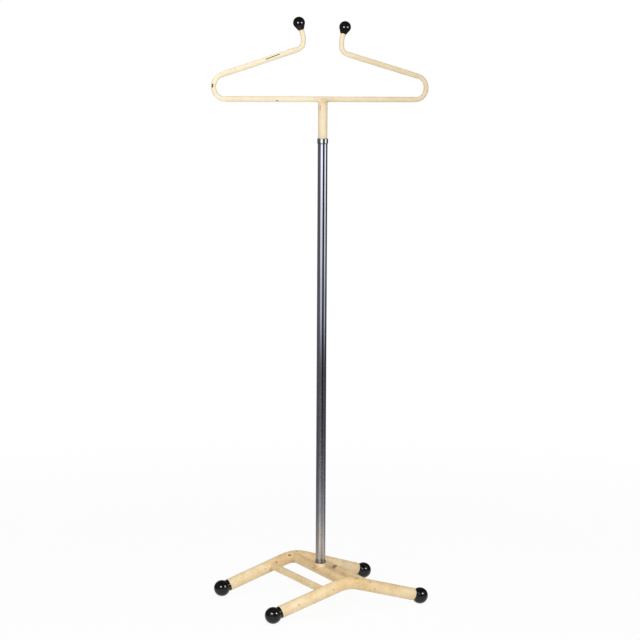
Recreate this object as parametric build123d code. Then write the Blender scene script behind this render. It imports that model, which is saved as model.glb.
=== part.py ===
from build123d import *
import math
import os

# Coat stand of bent steel tube: a welded base on four ball feet, a chromed column and a
# hanger that turns on the column and lifts out of it.
# Millimetres. +Z is up, +X runs along the legs to the right, +Y to the rear. The origin is
# on the floor under the column's axis.

# Legs: two tubes, each bent to a shallow inverted V, the rear one a little more
LEG_RADIUS = 12.7
LEG_WALL = 2.0
LEG_Y = 119.5
FRONT_APEX_Z = 65.7
REAR_APEX_Z = 69.6
LEG_BEND = 85.0

# Foot balls, with a short neck against the leg's end and a small worn flat below
FOOT_X = 170.0
FOOT_RADIUS = 16.8
FOOT_FLAT_DEPTH = 0.4
FOOT_NECK_RADIUS = 12.2
FOOT_NECK_LENGTH = 17.0
FOOT_Z = FOOT_RADIUS - FOOT_FLAT_DEPTH

# Threaded studs and end plugs that hold the foot balls
STUD_RADIUS = 4.0
STUD_IN_BALL = 15.0
STUD_IN_PLUG = 16.0
PLUG_LENGTH = 20.0

# Cross members between the legs: the main one runs a little under the crowns, the bars level
CROSS_RADIUS = 10.0
CROSS_WALL = 2.0
CROSS_DROP = 1.0
BAR_RADIUS = 7.5
BAR_WALL = 1.5
BAR_X = 54.0
BAR_Z = 52.3
BEAD = 1.8

# Column: flared foot on a seat ring
COLUMN_RADIUS = 10.0
COLUMN_WALL = 1.0
COLUMN_FOOT_Z = 78.5
COLUMN_FLARE = 1.3
COLUMN_FLARE_HEIGHT = 9.0
COLUMN_RIM = 2.0
SEAT_RADIUS = 10.8
SEAT_SKIRT = 4.0
COLUMN_PLUG_LENGTH = 30.0

# Threaded stud through the seat, on which the column is screwed down
COLUMN_STUD_RADIUS = 4.0
COLUMN_STUD_BELOW = 3.0
COLUMN_STUD_IN_PLUG = 18.0

# Collar at the column's mouth, and the bush inside it
COLLAR_TOP_Z = 957.0
COLLAR_HEIGHT = 10.0
COLLAR_RADIUS = 11.1
COLLAR_LIP = 1.5
COLLAR_ROUND = 1.2
BUSH_LENGTH = 60.0

# Hanger's spigot and stem, and the washer that they stand on
SPIGOT_RADIUS = 8.0
SPIGOT_DEPTH = 95.0
SPIGOT_IN_STEM = 35.0
SPIGOT_CHAMFER = 2.0
RUNNING_GAP = 0.05
LIP_GAP = 0.1
WASHER_THICKNESS = 1.0
STEM_RADIUS = 9.5
STEM_WALL = 1.5
STEM_SADDLE = 3.0
STEM_PLUG_HEIGHT = 8.0

# Hanger rod, one bent tube in the plane of the legs
ROD_RADIUS = 5.6
ROD_WALL = 1.5
ROD_BAR_Z = 1036.0
LOOP_REACH = 243.3
LOOP_BEND = 24.2
UPRIGHT_BEND = 17.0
LEAN_BEND = 30.0

# The two ends of the rod aren't bent quite alike: the right arm is flatter and its tip lower
LEFT_ARM_ANGLE = 17.1
LEFT_UPRIGHT_X = 44.9
LEFT_LEAN = 20.0
LEFT_TIP_Z = 1188.0
RIGHT_ARM_ANGLE = 14.4
RIGHT_UPRIGHT_X = 42.4
RIGHT_LEAN = 17.0
RIGHT_TIP_Z = 1181.5
LEFT_TIP_X = 55.0
RIGHT_TIP_X = 50.2

# Tip balls and the pins that hold them
TIP_RADIUS = 12.0
TIP_TAPER_START = 7.0
TIP_NECK_RADIUS = 6.0
TIP_NECK_LENGTH = 14.5
TIP_PIN_IN_ROD = 7.5
TIP_STUD_RADIUS = 3.0
TIP_STUD_LENGTH = 12.0

UPWARD = (Align.CENTER, Align.CENTER, Align.MIN)

STEM_FOOT_Z = COLLAR_TOP_Z + WASHER_THICKNESS
STEM_TOP_Z = ROD_BAR_Z - ROD_RADIUS + STEM_SADDLE


def standing(radius, low_z, high_z):
    """Solid round bar on the column's axis, between two heights."""
    return Pos(0, 0, low_z) * Cylinder(radius, high_z - low_z, align=UPWARD)


def across(radius, x, front_z, rear_z):
    """Solid round bar at one x, from the front leg's centreline to the rear's."""
    rise = rear_z - front_z
    tilt = math.degrees(math.atan2(rise, 2 * LEG_Y))
    bar = Rot(90 + tilt, 0, 0) * Cylinder(radius, math.hypot(rise, 2 * LEG_Y))
    return Pos(x, 0, (front_z + rear_z) / 2) * bar


def swept(path, radius, wall=None):
    """Round tube along a path, or a solid rod where no wall is given."""
    section = Circle(radius)
    if wall is not None:
        section = section - Circle(radius - wall)
    return sweep(Plane(origin=path @ 0, z_dir=path % 0) * section, path=path)


def apex_z(y):
    """Height at which a leg's two straights would meet."""
    return REAR_APEX_Z if y > 0 else FRONT_APEX_Z


def leg_angle(y):
    """Slope of a leg's straights."""
    return math.atan2(apex_z(y) - FOOT_Z, FOOT_X)


def cross_end_z(y):
    """Height of the main cross tube at a leg, just under the leg's crown."""
    return apex_z(y) - LEG_BEND * (1 / math.cos(leg_angle(y)) - 1) - CROSS_DROP


def cross_middle_z():
    """Height of the main cross tube under the column."""
    return (cross_end_z(-LEG_Y) + cross_end_z(LEG_Y)) / 2


def along_cross(radius):
    """Solid round bar on the main cross tube's centreline."""
    return across(radius, 0, cross_end_z(-LEG_Y), cross_end_z(LEG_Y))


def toward_foot(side, y):
    """Unit vector along a leg's straight, from the crown down to the foot on one side."""
    return Vector(side * math.cos(leg_angle(y)), 0, -math.sin(leg_angle(y)))


def foot_centre(side, y):
    """Centre of a foot ball."""
    return Vector(side * FOOT_X, y, FOOT_Z)


def leg_path(y):
    """Centreline of a leg, from the left ball's neck over the crown to the right one's."""
    left = foot_centre(-1, y) - toward_foot(-1, y) * FOOT_NECK_LENGTH
    right = foot_centre(1, y) - toward_foot(1, y) * FOOT_NECK_LENGTH
    return FilletPolyline(left, (0, y, apex_z(y)), right, radius=LEG_BEND)


def leg_tube(y):
    """One bent leg."""
    return swept(leg_path(y), LEG_RADIUS, LEG_WALL)


def leg_solids(extra=0.0):
    """Both legs as solid rods, thicker by extra, for cutting and for welds."""
    return [swept(leg_path(y), LEG_RADIUS + extra) for y in (-LEG_Y, LEG_Y)]


def without_legs(member):
    """A cross member with its ends cut to the legs' round."""
    for leg in leg_solids():
        member = member - leg
    return member


def main_cross_tube():
    """Cross tube under the column, its upper wall drilled for the column stud."""
    tube = without_legs(along_cross(CROSS_RADIUS) - along_cross(CROSS_RADIUS - CROSS_WALL))
    return tube - standing(COLUMN_STUD_RADIUS, cross_middle_z(), COLUMN_FOOT_Z)


def side_cross_bar(x):
    """Thin level tube from leg to leg."""
    bar = across(BAR_RADIUS, x, BAR_Z, BAR_Z) - across(BAR_RADIUS - BAR_WALL, x, BAR_Z, BAR_Z)
    return without_legs(bar)


def member_weld_beads(member, swollen_member):
    """Bead round each end of a solid cross member, in the corner between it and the leg."""
    beads = []
    for leg, swollen_leg in zip(leg_solids(), leg_solids(BEAD)):
        corner = (swollen_member & swollen_leg) - member - leg
        beads += corner.solids()
    return Compound(beads)


def main_cross_weld_beads():
    """The two beads of the main cross tube."""
    return member_weld_beads(along_cross(CROSS_RADIUS), along_cross(CROSS_RADIUS + BEAD))


def side_bar_weld_beads(x):
    """The two beads of a thin cross bar."""
    swollen_bar = across(BAR_RADIUS + BEAD, x, BAR_Z, BAR_Z)
    return member_weld_beads(across(BAR_RADIUS, x, BAR_Z, BAR_Z), swollen_bar)


def foot_ball(side, y):
    """Foot ball with its neck, its stud hole and the flat that it stands on."""
    ball = Sphere(FOOT_RADIUS) + Cylinder(FOOT_NECK_RADIUS, FOOT_NECK_LENGTH, align=UPWARD)
    hole = Pos(0, 0, FOOT_NECK_LENGTH - STUD_IN_BALL)
    ball = ball - hole * Cylinder(STUD_RADIUS, STUD_IN_BALL, align=UPWARD)
    placed = Plane(origin=foot_centre(side, y), z_dir=-toward_foot(side, y)) * ball
    below = Pos(side * FOOT_X, y, 0) * Box(
        4 * FOOT_RADIUS, 4 * FOOT_RADIUS, 4 * FOOT_RADIUS, align=(Align.CENTER, Align.CENTER, Align.MAX)
    )
    return placed - below


def leg_end(side, y):
    """Plane on a leg's end face, looking up the leg."""
    end = foot_centre(side, y) - toward_foot(side, y) * FOOT_NECK_LENGTH
    return Plane(origin=end, z_dir=-toward_foot(side, y))


def leg_ends():
    """The four leg end planes."""
    return [leg_end(side, y) for side in (-1, 1) for y in (-LEG_Y, LEG_Y)]


def leg_end_plugs():
    """Threaded plugs, flush in the leg ends."""
    bore = Cylinder(STUD_RADIUS, PLUG_LENGTH, align=UPWARD)
    plug = Cylinder(LEG_RADIUS - LEG_WALL, PLUG_LENGTH, align=UPWARD) - bore
    return Compound([(end * plug).solid() for end in leg_ends()])


def foot_studs():
    """Studs between the plugs and the foot balls."""
    stud = Pos(0, 0, -STUD_IN_BALL) * Cylinder(
        STUD_RADIUS, STUD_IN_BALL + STUD_IN_PLUG, align=UPWARD
    )
    return Compound([(end * stud).solid() for end in leg_ends()])


def column_seat():
    """Threaded ring on the cross tube, cut to its round, that the column stands on."""
    ring = standing(SEAT_RADIUS, cross_middle_z() + SEAT_SKIRT, COLUMN_FOOT_Z)
    ring = ring - along_cross(CROSS_RADIUS)
    return ring - standing(COLUMN_STUD_RADIUS, cross_middle_z(), COLUMN_FOOT_Z)


def seat_weld_bead():
    """Bead round the foot of the seat."""
    low_z = cross_middle_z() + SEAT_SKIRT
    corner = standing(SEAT_RADIUS + BEAD, low_z, COLUMN_FOOT_Z) & along_cross(CROSS_RADIUS + BEAD)
    return corner - along_cross(CROSS_RADIUS) - standing(SEAT_RADIUS, low_z, COLUMN_FOOT_Z)


def column_plug():
    """Threaded plug pressed into the column just above its flared foot."""
    low_z = COLUMN_FOOT_Z + COLUMN_FLARE_HEIGHT
    plug = standing(COLUMN_RADIUS - COLUMN_WALL, low_z, low_z + COLUMN_PLUG_LENGTH)
    return plug - standing(COLUMN_STUD_RADIUS, low_z, low_z + COLUMN_PLUG_LENGTH)


def column_stud():
    """Stud from inside the cross tube, through its upper wall and the seat, into the plug."""
    low_z = cross_middle_z() + CROSS_RADIUS - CROSS_WALL - COLUMN_STUD_BELOW
    high_z = COLUMN_FOOT_Z + COLUMN_FLARE_HEIGHT + COLUMN_STUD_IN_PLUG
    return standing(COLUMN_STUD_RADIUS, low_z, high_z)


def column_wall_profile(offset):
    """Points of the column wall's inner or outer line, from the flared foot to the top."""
    radius = COLUMN_RADIUS - offset
    top_z = COLLAR_TOP_Z - COLLAR_LIP
    return [
        (radius + COLUMN_FLARE, COLUMN_FOOT_Z),
        (radius + COLUMN_FLARE, COLUMN_FOOT_Z + COLUMN_RIM),
        (radius, COLUMN_FOOT_Z + COLUMN_FLARE_HEIGHT),
        (radius, top_z),
    ]


def column_tube():
    """Column with its flared foot, turned from the profile of its wall."""
    outer = column_wall_profile(0)
    inner = column_wall_profile(COLUMN_WALL)
    outline = Polyline(*outer, *reversed(inner), close=True)
    return revolve(Plane.XZ * make_face(outline), Axis.Z)


def column_collar():
    """Ring over the column's mouth, with a lip across the tube's end."""
    low_z = COLLAR_TOP_Z - COLLAR_HEIGHT
    ring = standing(COLLAR_RADIUS, low_z, COLLAR_TOP_Z)
    ring = fillet(ring.edges().group_by(Axis.Z)[-1], COLLAR_ROUND)
    ring = ring - standing(COLUMN_RADIUS, low_z, COLLAR_TOP_Z - COLLAR_LIP)
    return ring - standing(SPIGOT_RADIUS + LIP_GAP, low_z, COLLAR_TOP_Z)


def column_bush():
    """Bush in the column's mouth, in which the spigot turns and slides."""
    top_z = COLLAR_TOP_Z - COLLAR_LIP
    bush = standing(COLUMN_RADIUS - COLUMN_WALL, top_z - BUSH_LENGTH, top_z)
    return bush - standing(SPIGOT_RADIUS + RUNNING_GAP, top_z - BUSH_LENGTH, top_z)


def thrust_washer():
    """Loose washer on the collar, under the stem."""
    washer = standing(STEM_RADIUS, COLLAR_TOP_Z, STEM_FOOT_Z)
    return washer - standing(SPIGOT_RADIUS + LIP_GAP, COLLAR_TOP_Z, STEM_FOOT_Z)


def hanger_spigot():
    """Round bar pressed into the stem, its lower end chamfered to find the bush."""
    spigot = standing(SPIGOT_RADIUS, COLLAR_TOP_Z - SPIGOT_DEPTH, STEM_FOOT_Z + SPIGOT_IN_STEM)
    return chamfer(spigot.edges().group_by(Axis.Z)[0], SPIGOT_CHAMFER)


def upper_end_points(side, upright_x, arm_angle, lean, tip_x, tip_z):
    """Corners of one half of the rod, from the tip ball's neck down to the loop.

    The last corner is where the arm's line meets the bar's, beyond the loop, which is that
    corner rounded off.
    """
    slope = math.tan(math.radians(arm_angle))
    touch_x = LOOP_REACH - LOOP_BEND + LOOP_BEND * math.sin(math.radians(arm_angle))
    touch_z = ROD_BAR_Z + LOOP_BEND * (1 + math.cos(math.radians(arm_angle)))
    neck_x = tip_x - TIP_NECK_LENGTH * math.sin(math.radians(lean))
    neck_z = tip_z - TIP_NECK_LENGTH * math.cos(math.radians(lean))
    lean_z = tip_z - (tip_x - upright_x) / math.tan(math.radians(lean))
    shoulder_z = touch_z + (touch_x - upright_x) * slope
    loop_x = touch_x + (touch_z - ROD_BAR_Z) / slope
    return [
        Vector(side * neck_x, 0, neck_z),
        Vector(side * upright_x, 0, lean_z),
        Vector(side * upright_x, 0, shoulder_z),
        Vector(side * loop_x, 0, ROD_BAR_Z),
    ]


def left_points():
    """Corners of the rod's left half."""
    return upper_end_points(
        -1, LEFT_UPRIGHT_X, LEFT_ARM_ANGLE, LEFT_LEAN, LEFT_TIP_X, LEFT_TIP_Z
    )


def right_points():
    """Corners of the rod's right half."""
    return upper_end_points(
        1, RIGHT_UPRIGHT_X, RIGHT_ARM_ANGLE, RIGHT_LEAN, RIGHT_TIP_X, RIGHT_TIP_Z
    )


def rod_path():
    """Centreline of the hanger rod, from the left tip to the right."""
    bends = [LEAN_BEND, UPRIGHT_BEND, LOOP_BEND]
    points = left_points() + right_points()[::-1]
    return FilletPolyline(*points, radius=bends + bends[::-1])


def hanger_rod():
    """The bent hanger tube."""
    return swept(rod_path(), ROD_RADIUS, ROD_WALL)


def bar_solid(radius):
    """The rod's straight bar as a solid, for cutting and for the weld."""
    return Pos(0, 0, ROD_BAR_Z) * Rot(0, 90, 0) * Cylinder(radius, 4 * STEM_RADIUS)


def hanger_stem():
    """Stem tube, its top hollowed to seat the rod."""
    stem = standing(STEM_RADIUS, STEM_FOOT_Z, STEM_TOP_Z)
    stem = stem - standing(STEM_RADIUS - STEM_WALL, STEM_FOOT_Z, STEM_TOP_Z)
    return stem - bar_solid(ROD_RADIUS)


def stem_top_plug():
    """Plug that closes the stem's top round the rod."""
    plug = standing(STEM_RADIUS - STEM_WALL, STEM_TOP_Z - STEM_PLUG_HEIGHT, STEM_TOP_Z)
    return plug - bar_solid(ROD_RADIUS)


def stem_weld_bead():
    """Bead all round the corner between the stem and the rod."""
    corner = standing(STEM_RADIUS + BEAD, STEM_FOOT_Z, STEM_TOP_Z + BEAD)
    corner = corner & bar_solid(ROD_RADIUS + BEAD)
    return corner - bar_solid(ROD_RADIUS) - standing(STEM_RADIUS, STEM_FOOT_Z, STEM_TOP_Z)


def tip_plane(points, tip_x, tip_z, side):
    """Plane at a tip ball's centre, looking back down the rod's end."""
    centre = Vector(side * tip_x, 0, tip_z)
    return Plane(origin=centre, z_dir=points[0] - centre)


def tip_planes():
    """The left and the right tip ball's planes."""
    left = tip_plane(left_points(), LEFT_TIP_X, LEFT_TIP_Z, -1)
    right = tip_plane(right_points(), RIGHT_TIP_X, RIGHT_TIP_Z, 1)
    return left, right


def tip_ball(plane):
    """Tip ball, its neck tapering to the rod, with the hole for its pin."""
    start_radius = math.sqrt(TIP_RADIUS**2 - TIP_TAPER_START**2)
    taper = Pos(0, 0, TIP_TAPER_START) * Cone(
        start_radius, TIP_NECK_RADIUS, TIP_NECK_LENGTH - TIP_TAPER_START, align=UPWARD
    )
    hole = Pos(0, 0, TIP_NECK_LENGTH - TIP_STUD_LENGTH) * Cylinder(
        TIP_STUD_RADIUS, TIP_STUD_LENGTH, align=UPWARD
    )
    return plane * (Sphere(TIP_RADIUS) + taper - hole)


def tip_pins():
    """Stepped pins: the thick end in the rod, the thin end in the ball."""
    thick = Pos(0, 0, TIP_NECK_LENGTH) * Cylinder(ROD_RADIUS - ROD_WALL, TIP_PIN_IN_ROD, align=UPWARD)
    thin = Pos(0, 0, TIP_NECK_LENGTH - TIP_STUD_LENGTH) * Cylinder(
        TIP_STUD_RADIUS, TIP_STUD_LENGTH, align=UPWARD
    )
    pin = thick + thin
    return Compound([(plane * pin).solid() for plane in tip_planes()])


def all_parts():
    """Every sub-part by its name."""
    tip_left, tip_right = tip_planes()
    parts = {
        "front_leg_tube": leg_tube(-LEG_Y),
        "rear_leg_tube": leg_tube(LEG_Y),
        "main_cross_tube": main_cross_tube(),
        "main_cross_weld_beads": main_cross_weld_beads(),
        "leg_end_plugs": leg_end_plugs(),
        "foot_studs": foot_studs(),
        "column_seat": column_seat(),
        "seat_weld_bead": seat_weld_bead(),
        "column_stud": column_stud(),
        "column_plug": column_plug(),
        "column_tube": column_tube(),
        "column_collar": column_collar(),
        "column_bush": column_bush(),
        "thrust_washer": thrust_washer(),
        "hanger_spigot": hanger_spigot(),
        "hanger_stem": hanger_stem(),
        "stem_top_plug": stem_top_plug(),
        "stem_weld_bead": stem_weld_bead(),
        "hanger_rod": hanger_rod(),
        "tip_pins": tip_pins(),
        "tip_ball_left": tip_ball(tip_left),
        "tip_ball_right": tip_ball(tip_right),
    }
    for side, side_name in ((-1, "left"), (1, "right")):
        parts[f"{side_name}_cross_bar"] = side_cross_bar(side * BAR_X)
        parts[f"{side_name}_bar_weld_beads"] = side_bar_weld_beads(side * BAR_X)
        for y, row_name in ((-LEG_Y, "front"), (LEG_Y, "rear")):
            parts[f"foot_ball_{row_name}_{side_name}"] = foot_ball(side, y)
    return parts


os.makedirs("parts", exist_ok=True)
for name, shape in all_parts().items():
    export_step(shape, f"parts/{name}.step")
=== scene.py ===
"""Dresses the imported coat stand: enamelled tube base and hanger, chromed column, black balls.

Everything is in metres, in the frame of the part: +Z is up along the column, +X runs to the
right along the legs and the hanger, +Y to the rear, and the origin is on the floor.
"""

import logging
import math
from collections.abc import Callable, Sequence
from dataclasses import dataclass, field
from enum import Enum

import bmesh
import bpy
from mathutils import Matrix, Vector


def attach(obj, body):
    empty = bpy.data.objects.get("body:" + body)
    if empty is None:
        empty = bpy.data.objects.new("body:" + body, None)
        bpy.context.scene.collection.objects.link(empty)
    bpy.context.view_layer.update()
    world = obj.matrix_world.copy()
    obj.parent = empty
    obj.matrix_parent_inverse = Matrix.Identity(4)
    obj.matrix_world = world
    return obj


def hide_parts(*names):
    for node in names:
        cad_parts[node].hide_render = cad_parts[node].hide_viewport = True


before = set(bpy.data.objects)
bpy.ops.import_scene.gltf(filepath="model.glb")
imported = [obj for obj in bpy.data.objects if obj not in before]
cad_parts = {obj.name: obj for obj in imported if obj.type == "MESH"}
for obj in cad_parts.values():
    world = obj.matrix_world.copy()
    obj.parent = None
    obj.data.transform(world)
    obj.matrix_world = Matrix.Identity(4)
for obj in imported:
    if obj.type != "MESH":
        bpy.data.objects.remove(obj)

LOG = logging.getLogger("coat_stand")
UP = Vector((0.0, 0.0, 1.0))
MILLIMETRES = 1000.0
SAME_POINT = 1e-7
BEND_ANGLE = 0.002
LONG_RUN = 2.5
THINNING = "thinning"
BEAD_STEPS = 6.0
RIPPLE_POWER = 1.6
SWELL_SCALE = 260.0

Colour = tuple[float, float, float]
Levels = tuple[tuple[float, float], ...]
Material = bpy.types.Material
Mesh = bpy.types.Mesh
Node = bpy.types.Node
Operand = object
Socket = bpy.types.NodeSocket
Spot = tuple[float, float, float]


class Body(Enum):
    """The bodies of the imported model."""

    STAND = "stand"
    WASHER = "swivel_washer"
    HANGER = "hanger"


class Slot(Enum):
    """The record's material slots."""

    HANGER_ENAMEL = "hanger_enamel"
    BASE_ENAMEL = "base_enamel"
    BALL = "black_ball"
    COLUMN_CHROME = "column_chrome"
    COLLAR_CHROME = "collar_chrome"
    STEEL = "plain_steel"
    BRASS = "bush_brass"
    FIBRE = "washer_fibre"


class Side(Enum):
    """Left or right, as the sign of X."""

    LEFT = -1
    RIGHT = 1

    @property
    def word(self) -> str:
        """The side's name as the nodes spell it."""
        return self.name.lower()


class Row(Enum):
    """Front or rear leg, as the sign of Y."""

    FRONT = -1
    REAR = 1

    @property
    def word(self) -> str:
        """The row's name as the nodes spell it."""
        return self.name.lower()


def shade(red: int, green: int, blue: int) -> Colour:
    """Turns a screen colour into the linear colour that a shader takes.

    Args:
        red: Red from 0 to 255.
        green: Green from 0 to 255.
        blue: Blue from 0 to 255.

    Returns:
        The linear colour.
    """

    def linear(level: int) -> float:
        """One channel, without its screen curve."""
        part = level / 255
        return part / 12.92 if part <= 0.04045 else ((part + 0.055) / 1.055) ** 2.4

    return linear(red), linear(green), linear(blue)


# Materials


class Signal:
    """One number in a node tree, on which arithmetic adds Math nodes."""

    def __init__(self, tree: "NodeTree", socket: Socket) -> None:
        """Wraps a socket of a tree."""
        self.tree = tree
        self.socket = socket

    def __add__(self, other: Operand) -> "Signal":
        """Sum."""
        return self.tree.math("ADD", self, other)

    def __radd__(self, other: Operand) -> "Signal":
        """Sum, the number first."""
        return self.tree.math("ADD", other, self)

    def __sub__(self, other: Operand) -> "Signal":
        """Difference."""
        return self.tree.math("SUBTRACT", self, other)

    def __rsub__(self, other: Operand) -> "Signal":
        """Difference, the number first."""
        return self.tree.math("SUBTRACT", other, self)

    def __mul__(self, other: Operand) -> "Signal":
        """Product."""
        return self.tree.math("MULTIPLY", self, other)

    def __rmul__(self, other: Operand) -> "Signal":
        """Product, the number first."""
        return self.tree.math("MULTIPLY", other, self)

    def __truediv__(self, other: Operand) -> "Signal":
        """Quotient."""
        return self.tree.math("DIVIDE", self, other)

    def __abs__(self) -> "Signal":
        """Size without sign."""
        return self.tree.math("ABSOLUTE", self)

    def __or__(self, other: Operand) -> "Signal":
        """The larger of two masks."""
        return self.tree.math("MAXIMUM", self, other)

    def __and__(self, other: Operand) -> "Signal":
        """The smaller of two masks."""
        return self.tree.math("MINIMUM", self, other)

    def below(self, limit: Operand) -> "Signal":
        """1 where the number is under a limit."""
        return self.tree.math("LESS_THAN", self, limit)


class NodeTree:
    """A tree of nodes, in which one method adds every node."""

    def __init__(self, data: bpy.types.NodeTree) -> None:
        """Takes over a tree and empties it."""
        self.data = data
        data.nodes.clear()

    def node(self, kind: str, settings: dict | None = None, inputs: dict | None = None) -> Node:
        """Adds a node.

        Args:
            kind: The node's type.
            settings: Its settings, set before its sockets.
            inputs: Values or links by the sockets' identifiers.

        Returns:
            The node.
        """
        node = self.data.nodes.new(kind)
        for key, value in (settings or {}).items():
            setattr(node, key, value)
        sockets = {socket.identifier: socket for socket in node.inputs}
        for key, value in (inputs or {}).items():
            source = value.socket if isinstance(value, Signal) else value
            if isinstance(source, Socket):
                self.data.links.new(source, sockets[key])
            elif sockets[key].type == "RGBA":
                sockets[key].default_value = (*source, 1.0)
            else:
                sockets[key].default_value = source
        return node

    def math(self, operation: str, first: Operand, second: Operand = 0.0) -> Signal:
        """Adds a Math node.

        Args:
            operation: The node's operation.
            first: Its first value or link.
            second: Its second value or link.

        Returns:
            The node's result.
        """
        inputs = {"Value": first, "Value_001": second}
        node = self.node("ShaderNodeMath", {"operation": operation}, inputs)
        return Signal(self, node.outputs[0])

    def noise(
        self,
        where: Socket,
        scale: float,
        detail: float = 3.0,
        seed: Operand = 0.0,
        roughness: float = 0.55,
    ) -> Signal:
        """Cloudy noise about 0.5.

        Args:
            where: The vector that it reads.
            scale: Clouds per metre.
            detail: Octaves of finer clouds.
            seed: Picks another pattern.
            roughness: Weight of the finer clouds.

        Returns:
            The noise.
        """
        inputs = {"Vector": where, "W": seed, "Scale": scale, "Detail": detail, "Roughness": roughness}
        node = self.node("ShaderNodeTexNoise", {"noise_dimensions": "4D"}, inputs)
        return Signal(self, node.outputs[0])

    def seen(self) -> Signal:
        """Tells what the eye sees, at once or in a reflection, from what only gives light.

        Returns:
            1 for rays from the camera, a reflection or glass, and 0 for others.
        """
        path = self.node("ShaderNodeLightPath").outputs
        kinds = ("Is Camera Ray", "Is Glossy Ray", "Is Transmission Ray")
        camera, glossy, glass = (Signal(self, path[kind]) for kind in kinds)
        return camera | glossy | glass


class MaterialTree(NodeTree):
    """A material's nodes, and the patterns that the finishes share."""

    def __init__(self, name: str) -> None:
        """Starts an empty material.

        Args:
            name: The material's name.
        """
        self.material = bpy.data.materials.new(name)
        self.material.use_nodes = True
        super().__init__(self.material.node_tree)

    def place(self) -> Socket:
        """The shaded point in the frame of the part."""
        return self.node("ShaderNodeTexCoord").outputs["Object"]

    def axes(self, vector: Socket) -> tuple[Signal, ...]:
        """The three parts of a vector."""
        parts = self.node("ShaderNodeSeparateXYZ", {}, {"Vector": vector}).outputs
        return tuple(Signal(self, part) for part in parts)

    def vector(self, operation: str, first: Operand, second: Operand = (0.0, 0.0, 0.0)) -> Node:
        """A Vector Math node."""
        inputs = {"Vector": first, "Vector_001": second}
        return self.node("ShaderNodeVectorMath", {"operation": operation}, inputs)

    def stretched(self, vector: Socket, scale: Spot) -> Socket:
        """A vector with each axis scaled by itself."""
        return self.vector("MULTIPLY", vector, scale).outputs[0]

    def ramp(self, value: Signal, low: Operand, high: Operand) -> Signal:
        """Smooth step.

        Args:
            value: The number that it follows.
            low: Where it is 0.
            high: Where it is 1, which may be the smaller.

        Returns:
            The step.
        """
        settings = {"interpolation_type": "SMOOTHSTEP", "clamp": True}
        inputs = {"Value": value, "From Min": low, "From Max": high}
        return Signal(self, self.node("ShaderNodeMapRange", settings, inputs).outputs[0])

    def specks(self, where: Socket, scale: float, share: float, size: float, seed: float) -> Signal:
        """Round specks of mixed sizes.

        Args:
            where: The vector that they are scattered in.
            scale: Cells per metre, each with one possible speck.
            share: Share of the cells that have one.
            size: Largest radius, as a share of a cell.
            seed: Moves the cells.

        Returns:
            1 inside a speck and 0 outside.
        """
        moved = self.vector("ADD", where, (seed, seed * 0.37, -seed * 0.61)).outputs[0]
        inputs = {"Vector": moved, "Scale": scale}
        cells = self.node("ShaderNodeTexVoronoi", {"feature": "F1"}, inputs).outputs
        split = self.node("ShaderNodeSeparateColor", {}, {"Color": cells["Color"]})
        chance = Signal(self, split.outputs[0])
        reach = size * (1.0 - chance / share)
        speck = self.ramp(Signal(self, cells["Distance"]), reach, reach * 0.6)
        return speck * chance.below(share)

    def blend(self, factor: Operand, first: Operand, second: Operand) -> Socket:
        """Mixes two colours.

        Args:
            factor: 0 for the first, 1 for the second.
            first: One colour or its link.
            second: The other.

        Returns:
            The mixed colour.
        """
        inputs = {"Factor_Float": factor, "A_Color": first, "B_Color": second}
        node = self.node("ShaderNodeMix", {"data_type": "RGBA"}, inputs)
        return next(out for out in node.outputs if out.type == "RGBA")

    def to_segment(self, where: Socket, start: Vector, end: Vector) -> Signal:
        """Distance from the shaded point to a straight line between two points.

        Args:
            where: The shaded point.
            start: One end of the line.
            end: Its other end.

        Returns:
            The distance in metres.
        """
        run = end - start
        offset = self.vector("SUBTRACT", where, tuple(start)).outputs[0]
        along = Signal(self, self.vector("DOT_PRODUCT", offset, tuple(run)).outputs["Value"])
        part = (along / run.length_squared | 0.0) & 1.0
        inputs = {"Vector": tuple(run), "Scale": part}
        foot = self.node("ShaderNodeVectorMath", {"operation": "SCALE"}, inputs)
        return Signal(self, self.vector("DISTANCE", offset, foot.outputs[0]).outputs["Value"])

    def bump(self, height: Signal, distance: float, normal: Socket | None = None) -> Socket:
        """Surface relief.

        Args:
            height: The relief from 0 to 1.
            distance: What 1 stands for, in metres.
            normal: A finer or coarser relief that it adds to.

        Returns:
            The bent normal.
        """
        inputs = {"Height": height, "Distance": distance, "Strength": 1.0}
        if normal is not None:
            inputs["Normal"] = normal
        return self.node("ShaderNodeBump", {}, inputs).outputs[0]

    def finish(self, inputs: dict) -> Material:
        """Ends the material in one Principled shader.

        Args:
            inputs: Values or links of the shader's sockets.

        Returns:
            The material.
        """
        shader = self.node("ShaderNodeBsdfPrincipled", {"distribution": "MULTI_GGX"}, inputs)
        self.node("ShaderNodeOutputMaterial", {}, {"Surface": shader.outputs[0]})
        return self.material


@dataclass(frozen=True)
class Mark:
    """A placed scratch, chip, stain or painted highlight: a line with a width, in the frame of the part."""

    start: Spot
    end: Spot
    half_width: float
    feather: float
    colour: Colour
    strength: float = 1.0

    def mask(self, tree: MaterialTree, where: Socket, ragged: Signal) -> Signal:
        """Where the mark shows.

        Args:
            tree: The material's nodes.
            where: The shaded point.
            ragged: Noise that makes its edge uneven.

        Returns:
            0 outside the mark, up to its strength inside.
        """
        distance = tree.to_segment(where, Vector(self.start), Vector(self.end))
        uneven = distance + (ragged - 0.5) * (2.0 * self.half_width)
        return tree.ramp(uneven, self.half_width + self.feather, self.half_width) * self.strength


@dataclass(frozen=True)
class Joint:
    """A place where grime gathers: a welded corner or a mouth, as a line with a reach."""

    start: Spot
    end: Spot
    reach: float


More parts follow.
